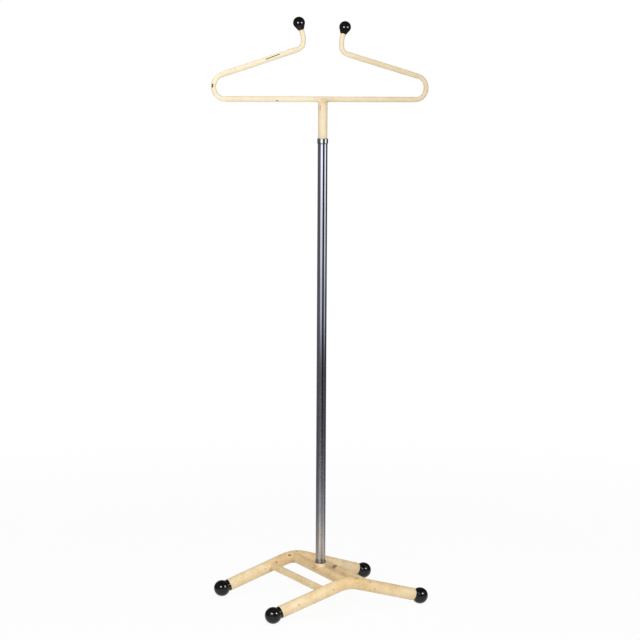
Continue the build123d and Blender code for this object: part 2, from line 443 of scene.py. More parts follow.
@dataclass(frozen=True)
class Enamel:
    """Glossy stove enamel on steel tube: ageing, grime, specks, marks, and painted shade with yellowing
    towards +x.
    """

    slot: Slot
    fresh: Colour
    aged: Colour
    dirt: Colour
    rust: Colour
    ageing: float
    middle_reach: float
    # Strength of the painted shade, with yellowing, towards +x.
    right_shade_and_yellowing: float
    mottling: float
    grime: float
    speck_share: float
    roughness: float
    gloss: float
    ripple: float
    joints: tuple[Joint, ...]
    marks: tuple[Mark, ...]
    broad_scale: float = 11.0
    blotch_scale: float = 42.0
    fine_scale: float = 300.0
    ragged_scale: float = 900.0
    ripple_scale: float = 160.0
    speck_scale: float = 115.0
    coat_roughness: float = 0.16
    chip_depth: float = 0.0001

    def build(self) -> Material:
        """Builds the enamel's material.

        Returns:
            The material.
        """
        tree = MaterialTree(self.slot.value)
        where = tree.place()
        along = tree.axes(where)[0]
        from_column = abs(along)
        broad = tree.noise(where, self.broad_scale, 2.0, 1.0)
        blotch = tree.noise(where, self.blotch_scale, 4.0, 2.0)
        fine = tree.noise(where, self.fine_scale, 3.0, 3.0)
        ragged = tree.noise(where, self.ragged_scale, 2.0, 4.0)

        middle = tree.ramp(from_column + (broad - 0.5) * 0.06, self.middle_reach, 0.0)
        patches = tree.ramp(broad * 0.5 + blotch * 0.5, 0.38, 0.64)
        # Painted shade, with yellowing: the colour leans to the aged colour towards +x.
        rightward = tree.ramp(along, -0.04, 0.18) * self.right_shade_and_yellowing
        ageing = (patches * 0.55 + middle * 0.6) * self.ageing + rightward & 1.0
        colour = tree.blend(ageing, self.fresh, self.aged)
        mottle = tree.ramp(fine * 0.6 + blotch * 0.4, 0.44, 0.72) * self.mottling
        colour = tree.blend(mottle, colour, self.dirt)

        corner = tree.ramp(blotch, 0.74, 0.92) * 0.3
        for joint in self.joints:
            distance = tree.to_segment(where, Vector(joint.start), Vector(joint.end))
            near = tree.ramp(distance + (blotch - 0.5) * joint.reach, joint.reach, joint.reach * 0.25)
            corner = corner | near
        grime = corner * self.grime * (0.3 + fine)
        colour = tree.blend(grime, colour, self.dirt)

        specks = tree.specks(where, self.speck_scale, self.speck_share, 0.14, 0.31)
        halo = tree.specks(where, self.speck_scale, self.speck_share, 0.3, 0.31)
        small = tree.specks(where, 2.0 * self.speck_scale, self.speck_share * 0.6, 0.2, 0.77)
        colour = tree.blend(halo * 0.4, colour, self.dirt)
        colour = tree.blend((specks | small) * 0.85, colour, self.rust)

        # The marks' masks, a painted highlight among them, also roughen the enamel and sink it a little.
        chips_and_highlight = specks * 0.6
        for mark in self.marks:
            mask = mark.mask(tree, where, ragged)
            colour = tree.blend(mask, colour, mark.colour)
            chips_and_highlight = chips_and_highlight | mask
        roughness = self.roughness + blotch * 0.12 + grime * 0.3 + chips_and_highlight * 0.3
        relief = tree.bump(tree.noise(where, self.ripple_scale, 1.0, 5.0), self.ripple)
        relief = tree.bump(1.0 - chips_and_highlight, self.chip_depth, relief)
        return tree.finish(
            {
                "Base Color": colour,
                "Roughness": roughness,
                "Coat Weight": self.gloss - self.gloss * (grime & 1.0),
                "Coat Roughness": self.coat_roughness,
                "Normal": relief,
            }
        )


@dataclass(frozen=True)
class Chrome:
    """Chrome plate that grows cloudy and pitted towards the floor, with a dark lower rim of tarnish and
    painted shade, and a painted shadow line.
    """

    slot: Slot
    bright: Colour
    cloudy: Colour
    # Colour of the pits and tarnish, and of the painted shade.
    pit_and_shade: Colour
    cloud_top: float
    cloud_foot: float
    warm_top: float
    # Top of the dark lower rim, which is tarnish and painted shade.
    rim_top: float
    # Height of a painted shadow line round the plate.
    painted_shadow_z: float
    pit_scale: float = 260.0
    pit_share: float = 0.22
    pit_depth: float = 0.00006
    wave_depth: float = 0.00035

    def build(self) -> Material:
        """Builds the plate's material.

        Returns:
            The material.
        """
        tree = MaterialTree(self.slot.value)
        where = tree.place()
        height = tree.axes(where)[2]
        broad = tree.noise(tree.stretched(where, (1.0, 1.0, 0.35)), 60.0, 3.0, 6.0)
        fine = tree.noise(where, 420.0, 3.0, 7.0)
        cloud = tree.ramp(height + (broad - 0.5) * 0.25, self.cloud_top, self.cloud_foot)
        mottle = cloud * tree.ramp(fine * 0.5 + broad * 0.5, 0.35, 0.68)
        pits = tree.specks(where, self.pit_scale, self.pit_share, 0.3, 0.19) * (0.25 + 0.75 * cloud)
        warm = tree.ramp(height + (broad - 0.5) * 0.06, self.warm_top, self.cloud_foot)
        colour = tree.blend(warm * 0.8 | mottle * 0.3, self.bright, self.cloudy)
        tarnish = cloud * tree.ramp(fine * 0.65 + broad * 0.35, 0.5, 0.7) * 0.45
        # Dark lower rim: tarnish, with painted shade where the plate meets the part below.
        edge = tree.ramp(height + (fine - 0.5) * 0.001, self.rim_top + 0.0012, self.rim_top - 0.0006)
        # Painted shadow: a dark line round the plate at one height, on the column just under the collar.
        line = tree.ramp(abs(height - self.painted_shadow_z), 0.0016, 0.0005)
        colour = tree.blend((tarnish | edge * 0.85) | line * 0.8, colour, self.pit_and_shade)
        colour = tree.blend(pits * 0.85, colour, self.pit_and_shade)
        scratches = tree.noise(tree.stretched(where, (1.0, 1.0, 0.04)), 900.0, 2.0, 8.0)
        roughness = 0.045 + 0.04 * scratches + 0.2 * cloud + 0.12 * mottle + 0.3 * pits
        waves = tree.noise(tree.stretched(where, (1.0, 1.0, 0.25)), 35.0, 1.0, 9.0)
        relief = tree.bump(1.0 - pits, self.pit_depth, tree.bump(waves, self.wave_depth))
        return tree.finish(
            {
                "Base Color": colour,
                "Metallic": 1.0 - 0.35 * pits,
                "Roughness": roughness,
                "Normal": relief,
            }
        )


@dataclass(frozen=True)
class BlackBall:
    """Glossy black moulding with fine rubbing, dust and scuffs where it meets the floor."""

    slot: Slot
    body: Colour
    rubbed: Colour
    dust: Colour
    scuff_height: float
    wave_depth: float = 0.00005
    scuff_depth: float = 0.00005
    refraction: float = 1.38

    def build(self) -> Material:
        """Builds the moulding's material.

        Returns:
            The material.
        """
        tree = MaterialTree(self.slot.value)
        where = tree.place()
        height = tree.axes(where)[2]
        smudge = tree.noise(where, 120.0, 4.0, 10.0)
        fine = tree.noise(tree.stretched(where, (1.0, 0.2, 1.0)), 1400.0, 3.0, 11.0)
        floor = tree.ramp(height + (smudge - 0.5) * self.scuff_height, self.scuff_height, 0.0)
        scuffs = floor * tree.ramp(fine, 0.45, 0.62)
        nicks = tree.specks(where, 190.0, 0.16, 0.2, 0.53)
        colour = tree.blend(tree.ramp(smudge, 0.4, 0.8) * 0.6, self.body, self.rubbed)
        colour = tree.blend(scuffs * 0.7 | nicks * 0.5, colour, self.dust)
        roughness = 0.1 + 0.16 * tree.ramp(smudge, 0.42, 0.75) + 0.3 * scuffs + 0.2 * nicks
        relief = tree.bump(tree.noise(where, 260.0, 2.0, 12.0), self.wave_depth)
        relief = tree.bump(1.0 - (scuffs * 0.5 | nicks), self.scuff_depth, relief)
        return tree.finish(
            {
                "Base Color": colour,
                "Roughness": roughness,
                "IOR": self.refraction,
                "Normal": relief,
            }
        )


@dataclass(frozen=True)
class TurnedMetal:
    """Turned or pressed metal with rings from the tool, a little oxide and stains."""

    slot: Slot
    bright: Colour
    dull: Colour
    stain: Colour
    metallic: float
    ring_depth: float = 0.00003

    def build(self) -> Material:
        """Builds the metal's material.

        Returns:
            The material.
        """
        tree = MaterialTree(self.slot.value)
        where = tree.place()
        rings = tree.noise(tree.stretched(where, (0.05, 0.05, 1.0)), 2600.0, 2.0, 13.0)
        patches = tree.noise(where, 95.0, 4.0, 14.0)
        stains = tree.ramp(patches, 0.56, 0.72)
        colour = tree.blend(tree.ramp(rings * 0.5 + patches * 0.5, 0.36, 0.66), self.bright, self.dull)
        colour = tree.blend(stains * 0.5, colour, self.stain)
        roughness = 0.26 + 0.18 * rings + 0.25 * stains
        return tree.finish(
            {
                "Base Color": colour,
                "Metallic": self.metallic - 0.3 * stains * self.metallic,
                "Roughness": roughness,
                "Normal": tree.bump(rings, self.ring_depth),
            }
        )


@dataclass(frozen=True)
class PressedFibre:
    """Pale pressed fibre, flecked and soaked at its edge."""

    slot: Slot
    pale: Colour
    soaked: Colour
    fleck: Colour
    cloth_depth: float = 0.00008

    def build(self) -> Material:
        """Builds the fibre's material.

        Returns:
            The material.
        """
        tree = MaterialTree(self.slot.value)
        where = tree.place()
        cloth = tree.noise(where, 520.0, 5.0, 15.0)
        patches = tree.noise(where, 130.0, 2.0, 16.0)
        flecks = tree.specks(where, 900.0, 0.3, 0.3, 0.41)
        colour = tree.blend(tree.ramp(patches, 0.42, 0.7), self.pale, self.soaked)
        colour = tree.blend(flecks * 0.5, colour, self.fleck)
        return tree.finish(
            {
                "Base Color": colour,
                "Roughness": 0.6 + 0.25 * cloth,
                "Normal": tree.bump(cloth, self.cloth_depth),
            }
        )


# Shapes


@dataclass(frozen=True)
class Corner:
    """A corner of a line, and the radius that rounds it."""

    at: Vector
    radius: float = 0.0


def rim(radius: float, height: float, rounding: float = 0.0) -> Corner:
    """A corner of a turned outline."""
    return Corner(Vector((radius, 0.0, height)), rounding)


def rounded(corners: Sequence[Corner], closed: bool, turn: float) -> list[Vector]:
    """Points along a line of straights and arcs.

    Args:
        corners: The line's corners.
        closed: Whether its end meets its start.
        turn: Degrees of arc from point to point.

    Returns:
        The points in order.
    """
    points = []
    for index, corner in enumerate(corners):
        loose = not closed and index in (0, len(corners) - 1)
        if loose or corner.radius == 0.0:
            points.append(corner.at.copy())
            continue
        back = (corners[index - 1].at - corner.at).normalized()
        ahead = (corners[(index + 1) % len(corners)].at - corner.at).normalized()
        half = back.angle(ahead) / 2
        centre = corner.at + (back + ahead).normalized() * (corner.radius / math.sin(half))
        reach = corner.radius / math.tan(half)
        first = corner.at + back * reach - centre
        last = corner.at + ahead * reach - centre
        sweep = math.pi - 2 * half
        steps = max(2, math.ceil(math.degrees(sweep) / turn))
        for step in range(steps + 1):
            part = step / steps
            mixed = first * math.sin((1 - part) * sweep) + last * math.sin(part * sweep)
            points.append(centre + mixed / math.sin(sweep))
    return points


def closed_mesh(shape: bmesh.types.BMesh, name: str, crease: float = 38.0) -> Mesh:
    """Turns a built shape into a smooth mesh with its faces outwards.

    Args:
        shape: The shape, which is used up.
        name: The mesh's name.
        crease: Degrees past which an edge stays sharp.

    Returns:
        The mesh.
    """
    bmesh.ops.remove_doubles(shape, verts=shape.verts, dist=SAME_POINT)
    bmesh.ops.recalc_face_normals(shape, faces=shape.faces)
    mesh = bpy.data.meshes.new(name)
    shape.to_mesh(mesh)
    shape.free()
    mesh.polygons.foreach_set("use_smooth", [True] * len(mesh.polygons))
    mesh.set_sharp_from_angle(angle=math.radians(crease))
    return mesh


def turned(
    outline: Sequence[Vector],
    sides: int,
    fit: Callable[[Vector], Vector] | None = None,
) -> bmesh.types.BMesh:
    """Turns an outline round the Z axis.

    Args:
        outline: Points of the outline, x as the radius. It is a loop unless it starts and
            ends on the axis.
        sides: Points round the axis.
        fit: Moves each turned point, such as onto a neighbour's surface.

    Returns:
        The closed shape.
    """
    shape = bmesh.new()
    rings = []
    for point in outline:
        count = 1 if point.x < SAME_POINT else sides
        ring = []
        for step in range(count):
            angle = 2 * math.pi * step / sides
            spot = Vector((point.x * math.cos(angle), point.x * math.sin(angle), point.z))
            ring.append(shape.verts.new(fit(spot) if fit else spot))
        rings.append(ring)
    on_axis = len(rings[0]) == 1 and len(rings[-1]) == 1
    pairs = list(zip(rings, rings[1:]))
    if not on_axis:
        pairs.append((rings[-1], rings[0]))
    for low, high in pairs:
        for step in range(sides):
            after = (step + 1) % sides
            spots = ((low, step), (low, after), (high, after), (high, step))
            unique = list(dict.fromkeys(ring[place % len(ring)] for ring, place in spots))
            if len(unique) > 2:
                shape.faces.new(unique)
    return shape


def lathe(
    name: str,
    outline: Sequence[tuple[float, ...]],
    closed: bool,
    turn: float,
    sides: int,
    crease: float = 38.0,
) -> Mesh:
    """Turns a mesh from an outline with rounded corners.

    Args:
        name: The mesh's name.
        outline: Radius and height of each corner, and the radius that rounds it if any.
        closed: Whether the outline is a loop off the axis.
        turn: Degrees of arc from point to point in the corners.
        sides: Points round the axis.
        crease: Degrees past which an edge stays sharp.

    Returns:
        The mesh.
    """
    points = rounded([rim(*corner) for corner in outline], closed, turn)
    return closed_mesh(turned(points, sides), name, crease)


def eased(points: Sequence[Vector], reach: float) -> list[Vector]:
    """Adds points to the long straights of a line, near their ends.

    Args:
        points: The line's points.
        reach: How far from an end the added point lies.

    Returns:
        The points with the added ones.
    """
    line = [points[0]]
    for start, end in zip(points, points[1:]):
        run = end - start
        if run.length > LONG_RUN * reach:
            line += [start + run.normalized() * reach, end - run.normalized() * reach]
        line.append(end)
    return line


def bent_share(points: Sequence[Vector]) -> list[float]:
    """Tells where a line bends.

    Args:
        points: The line's points.

    Returns:
        1 for each point at which it bends, 0 for the others and its ends.
    """
    shares = [0.0]
    for before, here, after in zip(points, points[1:], points[2:]):
        shares.append(1.0 if (here - before).angle(after - here) > BEND_ANGLE else 0.0)
    return shares + [0.0]


def chain(name: str, points: Sequence[Vector], closed: bool, thinning: float = 0.0) -> Mesh:
    """A mesh of edges along points, for the Geometry Nodes to follow.

    Args:
        name: The mesh's name.
        points: The points in order.
        closed: Whether the last joins the first.
        thinning: Share of its thickness that a tube loses where the line bends.

    Returns:
        The mesh, with the thinning as an attribute of its points.
    """
    edges = [(index, index + 1) for index in range(len(points) - 1)]
    if closed:
        edges.append((len(points) - 1, 0))
    mesh = bpy.data.meshes.new(name)
    mesh.from_pydata([tuple(point) for point in points], edges, [])
    if thinning:
        values = [share * thinning for share in bent_share(points)]
        mesh.attributes.new(THINNING, "FLOAT", "POINT").data.foreach_set("value", values)
    return mesh


def joined(name: str, meshes: Sequence[Mesh]) -> Mesh:
    """One mesh of several.

    Args:
        name: The new mesh's name.
        meshes: The meshes, which are used up.

    Returns:
        The joined mesh.
    """
    shape = bmesh.new()
    for mesh in meshes:
        shape.from_mesh(mesh)
        bpy.data.meshes.remove(mesh)
    whole = bpy.data.meshes.new(name)
    shape.to_mesh(whole)
    shape.free()
    return whole


class ShapeTree(NodeTree):
    """A Geometry Nodes tree with named inputs."""

    def __init__(self, name: str, inputs: dict[str, str]) -> None:
        """Starts a tree.

        Args:
            name: The tree's name.
            inputs: Socket types by the inputs' names, besides the geometry.
        """
        super().__init__(bpy.data.node_groups.new(name, "GeometryNodeTree"))
        interface = self.data.interface
        interface.new_socket("Geometry", in_out="INPUT", socket_type="NodeSocketGeometry")
        for label, kind in inputs.items():
            interface.new_socket(label, in_out="INPUT", socket_type=kind)
        interface.new_socket("Geometry", in_out="OUTPUT", socket_type="NodeSocketGeometry")
        self.given = self.node("NodeGroupInput")
        self.result = self.node("NodeGroupOutput")

    def read(self, label: str) -> Signal:
        """One of the tree's own inputs."""
        return Signal(self, self.given.outputs[label])

    def field(
        self,
        kind: str,
        output: int | str,
        settings: dict | None = None,
        inputs: dict | None = None,
    ) -> Signal:
        """A number that a node gives for each point.

        Args:
            kind: The node's type.
            output: The output's name or place.
            settings: The node's settings.
            inputs: Its inputs.

        Returns:
            The number.
        """
        return Signal(self, self.node(kind, settings, inputs).outputs[output])

    def line(self) -> Socket:
        """The given mesh of edges as a curve."""
        return self.node("GeometryNodeMeshToCurve", {}, {"Mesh": self.read("Geometry")}).outputs[0]

    def sweep(self, line: Socket, radius: Signal, scale: Signal) -> None:
        """Ends the tree in a round section swept along a curve.

        Args:
            line: The curve.
            radius: The section's radius.
            scale: What it is scaled by at each point.
        """
        circle = {"Resolution": self.read("Sides"), "Radius": radius}
        ring = self.node("GeometryNodeCurvePrimitiveCircle", {}, circle).outputs[0]
        inputs = {"Curve": line, "Profile Curve": ring, "Scale": scale, "Fill Caps": True}
        self.close(self.node("GeometryNodeCurveToMesh", {}, inputs).outputs[0])

    def close(self, geometry: Socket) -> None:
        """Ends the tree in real geometry with its material.

        Args:
            geometry: The finished geometry.
        """
        smooth = self.node("GeometryNodeSetShadeSmooth", {}, {"Geometry": geometry})
        real = self.node("GeometryNodeRealizeInstances", {}, {"Geometry": smooth.outputs[0]})
        inputs = {"Geometry": real.outputs[0], "Material": self.read("Material")}
        painted = self.node("GeometryNodeSetMaterial", {}, inputs)
        self.data.links.new(painted.outputs[0], self.result.inputs[0])

    def grow(self, source: Mesh, values: dict) -> Mesh:
        """Runs the tree on a mesh.

        Args:
            source: The mesh that the tree starts from.
            values: Values of the tree's inputs by their names.

        Returns:
            The plain mesh that it makes.
        """
        holder = bpy.data.objects.new(source.name, source)
        bpy.context.scene.collection.objects.link(holder)
        modifier = holder.modifiers.new(self.data.name, "NODES")
        modifier.node_group = self.data
        for item in self.data.interface.items_tree:
            if item.in_out == "INPUT" and item.name in values:
                modifier[item.identifier] = values[item.name]
        graph = bpy.context.evaluated_depsgraph_get()
        mesh = bpy.data.meshes.new_from_object(
            holder.evaluated_get(graph), preserve_all_data_layers=True, depsgraph=graph
        )
        holder.modifiers.clear()
        bpy.data.objects.remove(holder)
        return mesh


def tube_tree() -> ShapeTree:
    """Makes the tree that draws a round tube along a line, its two ends rounded over.

    Returns:
        The tree.
    """
    inputs = {
        "Tube Radius": "NodeSocketFloat",
        "End Rounding": "NodeSocketFloat",
        "Sides": "NodeSocketInt",
        "Material": "NodeSocketMaterial",
    }
    tree = ShapeTree("Bent tube", inputs)
    line = tree.line()
    length = tree.field("GeometryNodeSplineLength", "Length")
    along = tree.field("GeometryNodeSplineParameter", "Length")
    rounding = tree.read("End Rounding")
    inward = 1.0 - ((along & (length - along)) / rounding & 1.0)
    arc = tree.math("SQRT", 1.0 - inward * inward)
    radius = tree.read("Tube Radius")
    scale = (radius - rounding * (1.0 - arc)) / radius
    attribute = ({"data_type": "FLOAT"}, {"Name": THINNING})
    thinned = tree.field("GeometryNodeInputNamedAttribute", 0, *attribute)
    tree.sweep(line, radius, scale * (1.0 - thinned))
    return tree


def bead_tree() -> ShapeTree:
    """Makes the tree that lays a rippled weld bead along a line.

    Returns:
        The tree.
    """
    inputs = {
        "Bead Radius": "NodeSocketFloat",
        "Ripple Pitch": "NodeSocketFloat",
        "Ripple Depth": "NodeSocketFloat",
        "Unevenness": "NodeSocketFloat",
        "Seed": "NodeSocketFloat",
        "Sides": "NodeSocketInt",
        "Material": "NodeSocketMaterial",
    }
    tree = ShapeTree("Weld bead", inputs)
    pitch = tree.read("Ripple Pitch")
    steps = {"Curve": tree.line(), "Length": pitch / BEAD_STEPS}
    line = tree.node("GeometryNodeResampleCurve", {"mode": "LENGTH"}, steps).outputs[0]
    along = tree.field("GeometryNodeSplineParameter", "Length")
    wave = tree.math("FRACT", along / pitch)
    ripple = tree.math("POWER", wave, RIPPLE_POWER) * tree.read("Ripple Depth")
    here = tree.node("GeometryNodeInputPosition").outputs[0]
    swell = tree.noise(here, SWELL_SCALE, 2.0, tree.read("Seed"), 0.5)
    uneven = (swell - 0.5) * tree.read("Unevenness")
    tree.sweep(line, tree.read("Bead Radius"), 1.0 - ripple + uneven)
    return tree


@dataclass
class Workshop:
    """The materials and trees that the sub-assemblies share, and the group of black mouldings."""

    paint: dict[Slot, Material]
    mouldings: bpy.types.Collection
    tube: ShapeTree = field(default_factory=tube_tree)
    bead: ShapeTree = field(default_factory=bead_tree)
    tube_sides: int = 64
    bead_sides: int = 12
    ripple_pitch: float = 0.0021
    ripple_depth: float = 0.2
    unevenness: float = 0.5
    bead_crease: float = 60.0
    end_steps: int = 6
    ease: float = 0.006

    def dress(self, mesh: Mesh, name: str, body: Body, slot: Slot, nodes: Sequence[str]) -> None:
        """Puts a finished mesh into the scene as a piece of the stand.

        Args:
            mesh: The piece's mesh, in its place.
            name: The piece's name.
            body: The body that it rides on.
            slot: The slot that it takes its finish from.
            nodes: The CAD nodes that it stands for.
        """
        piece = bpy.data.objects.new(name, mesh)
        bpy.context.scene.collection.objects.link(piece)
        if slot is Slot.BALL:
            self.mouldings.objects.link(piece)
        mesh.materials.clear()
        mesh.materials.append(self.paint[slot])
        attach(piece, body.value)
        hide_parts(*nodes)
        LOG.info("%s: %d faces, rides on %s", name, len(mesh.polygons), body.value)

    def repaint(self, node: str, slot: Slot) -> None:
        """Gives a CAD node that stays its material.

        Args:
            node: The node's name.
            slot: The slot that it takes its finish from.
        """
        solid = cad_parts[node]
        if not solid.material_slots:
            solid.data.materials.append(self.paint[slot])
        for material_slot in solid.material_slots:
            material_slot.material = self.paint[slot]
        LOG.info("%s: CAD solid kept, %s", node, slot.value)

    def bent_tube(
        self,
        name: str,
        line: Sequence[Vector],
        radius: float,
        rounding: float,
        thinning: float = 0.0,
    ) -> Mesh:
        """A tube along a line with rounded-over ends.

        Args:
            name: The mesh's name.
            line: The centreline's points.
            radius: The tube's outside radius.
            rounding: The radius of its end edges.
            thinning: Share of its thickness that it loses where it bends.

        Returns:
            The tube.
        """
        turns = [math.pi / 2 * step / self.end_steps for step in range(1, self.end_steps + 1)]
        ends = [rounding * (1 - math.cos(turn)) for turn in turns]
        ahead = (line[1] - line[0]).normalized()
        back = (line[-2] - line[-1]).normalized()
        points = [line[0]] + [line[0] + ahead * reach for reach in ends]
        points += eased(line, self.ease)[1:-1]
        points += [line[-1] + back * reach for reach in reversed(ends)] + [line[-1]]
        values = {"Tube Radius": radius, "End Rounding": rounding, "Sides": self.tube_sides}
        grown = self.tube.grow(chain(name, points, False, thinning), values)
        shape = bmesh.new()
        shape.from_mesh(grown)
        return closed_mesh(shape, name)

    def weld(
        self,
        name: str,
        loops: Sequence[Sequence[Vector]],
        radius: float,
        closed: bool = True,
    ) -> Mesh:
        """Rippled beads along lines.

        Args:
            name: The mesh's name.
            loops: The beads' lines.
            radius: The bead's radius.
            closed: Whether each line ends where it starts.

        Returns:
            The beads.
        """
        beads = []
        for index, loop in enumerate(loops):
            values = {
                "Bead Radius": radius,
                "Ripple Pitch": self.ripple_pitch,
                "Ripple Depth": self.ripple_depth,
                "Unevenness": self.unevenness,
                "Seed": index + radius * MILLIMETRES,
                "Sides": self.bead_sides,
            }
            beads.append(self.bead.grow(chain(name, loop, closed), values))
        shape = bmesh.new()
        shape.from_mesh(joined(name, beads))
        return closed_mesh(shape, name, self.bead_crease)


# The stand's sub-assemblies


@dataclass
class FootBall:
    """One moulded ball foot, its neck against the leg's end and a worn flat on the floor."""

    centre: Vector
    axis: Vector
    radius: float = 0.0168
    neck_radius: float = 0.0122
    neck_length: float = 0.017
    neck_fillet: float = 0.0022
    neck_edge: float = 0.0006
    sides: int = 96
    rings: int = 44
    fillet_steps: int = 8
    edge_turn: float = 15.0

    def outline(self) -> list[Vector]:
        """Draws the ball's outline, from its pole over the neck to the leg's end.

        Returns:
            The outline's points, x as the radius.
        """
        fillet_x = self.neck_radius + self.neck_fillet
        fillet_z = math.sqrt((self.radius + self.neck_fillet) ** 2 - fillet_x**2)
        last = math.pi - math.atan2(fillet_x, fillet_z)
        points = []
        for step in range(self.rings + 1):
            angle = last * step / self.rings
            points.append(Vector((self.radius * math.sin(angle), 0.0, -self.radius * math.cos(angle))))
        points[0].x = 0.0
        centre = Vector((fillet_x, 0.0, fillet_z))
        start = math.atan2(-fillet_z, -fillet_x)
        for step in range(1, self.fillet_steps + 1):
            angle = start - (start + math.pi) * step / self.fillet_steps
            points.append(centre + Vector((math.cos(angle), 0.0, math.sin(angle))) * self.neck_fillet)
        edge = [
            rim(self.neck_radius, fillet_z),
            rim(self.neck_radius, self.neck_length, self.neck_edge),
            rim(0.0, self.neck_length),
        ]
        return points + rounded(edge, False, self.edge_turn)[1:]

    def mesh(self, name: str) -> Mesh:
        """The ball in its place, cut flat where it stands.

        Args:
            name: The mesh's name.

        Returns:
            The mesh.
        """
        shape = turned(self.outline(), self.sides)
        tilt = UP.rotation_difference(self.axis).to_matrix().to_4x4()
        bmesh.ops.transform(shape, matrix=Matrix.Translation(self.centre) @ tilt, verts=shape.verts)
        everything = shape.verts[:] + shape.edges[:] + shape.faces[:]
        cut = bmesh.ops.bisect_plane(
            shape, geom=everything, plane_co=(0, 0, 0), plane_no=(0, 0, -1), clear_outer=True
        )
        edges = [part for part in cut["geom_cut"] if isinstance(part, bmesh.types.BMEdge)]
        bmesh.ops.holes_fill(shape, edges=edges)
        return closed_mesh(shape, name)


@dataclass
class Base:
    """The welded base: two bent legs, three cross members and four ball feet."""

    leg_radius: float = 0.0127
    leg_y: float = 0.1195
    front_apex_z: float = 0.0657
    rear_apex_z: float = 0.0696
    bend: float = 0.085
    leg_edge: float = 0.0007
    foot_x: float = 0.170
    foot_z: float = 0.0164
    neck_length: float = 0.017
    cross_radius: float = 0.010
    cross_drop: float = 0.001
    bar_radius: float = 0.0075
    bar_x: float = 0.054
    bar_z: float = 0.0523
    bead: float = 0.0018
    member_sides: int = 72
    member_steps: int = 4
    weld_steps: int = 96
    arc_turn: float = 1.5

    def apex_z(self, row: Row) -> float:
        """Height at which a leg's two straights would meet."""
        return self.front_apex_z if row is Row.FRONT else self.rear_apex_z

    def angle(self, row: Row) -> float:
        """Slope of a leg's straights."""
        return math.atan2(self.apex_z(row) - self.foot_z, self.foot_x)

    def crown_z(self, row: Row) -> float:
        """Height of a leg's centreline at its crown."""
        return self.apex_z(row) - self.bend * (1 / math.cos(self.angle(row)) - 1)

    def cross_heights(self) -> dict[Row, float]:
        """Height of the main cross tube at each leg."""
        return {row: self.crown_z(row) - self.cross_drop for row in Row}

    def up_leg(self, side: Side, row: Row) -> Vector:
        """Unit vector from a foot up its leg."""
        return Vector((-side.value * math.cos(self.angle(row)), 0.0, math.sin(self.angle(row))))

    def foot(self, side: Side, row: Row) -> Vector:
        """Centre of a foot ball."""
        return Vector((side.value * self.foot_x, row.value * self.leg_y, self.foot_z))

    def off_leg(self, x: float, z: float, row: Row) -> float:
        """How far a point lies from a leg's centreline in the leg's own plane.

        Args:
            x: The point's x.
            z: Its height.
            row: The leg.

        Returns:
            The distance in metres.
        """
        angle = self.angle(row)
        if abs(x) < self.bend * math.sin(angle):
            return abs(math.hypot(x, z - self.crown_z(row) + self.bend) - self.bend)
        line_z = self.apex_z(row) - abs(x) * math.tan(angle)
        return abs(z - line_z) * math.cos(angle)

    def on_leg(self, x: float, z: float, row: Row) -> Vector:
        """Where a line along Y meets a leg's surface.

        Args:
            x: The line's x.
            z: Its height.
            row: The leg.

        Returns:
            The point on the leg's inner side.
        """
        off = min(self.off_leg(x, z, row), self.leg_radius * 0.999)
        return Vector((x, row.value * (self.leg_y - math.sqrt(self.leg_radius**2 - off**2)), z))

    def member_ring(self, radius: float, x: float, z: float, row: Row, count: int) -> list[Vector]:
        """The line where a cross member meets a leg.

        Args:
            radius: The member's radius.
            x: The member's place.
            z: The member's height at the leg.
            row: The leg.
            count: Points round it.

        Returns:
            The points in order.
        """
        ring = []
        for step in range(count):
            angle = 2 * math.pi * step / count
            ring.append(self.on_leg(x + radius * math.cos(angle), z + radius * math.sin(angle), row))
        return ring

    def member(self, radius: float, x: float, heights: dict[Row, float], name: str) -> Mesh:
        """A cross member, its ends cut to the legs' round.

        Args:
            radius: The member's radius.
            x: The member's place.
            heights: The member's height at each leg.
            name: The mesh's name.

        Returns:
            The mesh.
        """
        shape = bmesh.new()
        ends = [self.member_ring(radius, x, heights[row], row, self.member_sides) for row in Row]
        rows = []
        for step in range(self.member_steps + 1):
            part = step / self.member_steps
            rows.append([shape.verts.new(front.lerp(rear, part)) for front, rear in zip(*ends)])
        for low, high in zip(rows, rows[1:]):
            for step in range(self.member_sides):
                after = (step + 1) % self.member_sides
                shape.faces.new((low[step], low[after], high[after], high[step]))
        for edge, row in ((rows[0], Row.FRONT), (rows[-1], Row.REAR)):
            middle = shape.verts.new(self.on_leg(x, heights[row], row))
            for step in range(self.member_sides):
                shape.faces.new((edge[step], edge[(step + 1) % self.member_sides], middle))
        return closed_mesh(shape, name)

    def make(self, shop: Workshop) -> None:
        """Builds and dresses the base.

        Args:
            shop: The shared materials and trees.
        """
        stand = Body.STAND
        enamel = Slot.BASE_ENAMEL
        for row in Row:
            ends = [self.foot(side, row) + self.up_leg(side, row) * self.neck_length for side in Side]
            apex = Vector((0.0, row.value * self.leg_y, self.apex_z(row)))
            corners = [Corner(ends[0]), Corner(apex, self.bend), Corner(ends[1])]
            line = rounded(corners, False, self.arc_turn)
            name = f"{row.word}_leg"
            leg = shop.bent_tube(name, line, self.leg_radius, self.leg_edge)
            shop.dress(leg, name, stand, enamel, [f"{row.word}_leg_tube"])
            for side in Side:
                name = f"{row.word}_{side.word}_foot"
                ball = FootBall(self.foot(side, row), self.up_leg(side, row)).mesh(name)
                shop.dress(ball, name, stand, Slot.BALL, [f"foot_ball_{row.word}_{side.word}"])

        level = {row: self.bar_z for row in Row}
        members = [("main_cross", "main_cross_tube", self.cross_radius, 0.0, self.cross_heights())]
        for side in Side:
            bar = f"{side.word}_bar"
            node = f"{side.word}_cross_bar"
            members.append((bar, node, self.bar_radius, side.value * self.bar_x, level))
        for name, node, radius, x, heights in members:
            shop.dress(self.member(radius, x, heights, name), name, stand, enamel, [node])
            lines = [self.member_ring(radius, x, heights[row], row, self.weld_steps) for row in Row]
            welds = shop.weld(f"{name}_welds", lines, self.bead)
            shop.dress(welds, f"{name}_welds", stand, enamel, [f"{name}_weld_beads"])
        for node in ("leg_end_plugs", "foot_studs"):
            shop.repaint(node, Slot.STEEL)


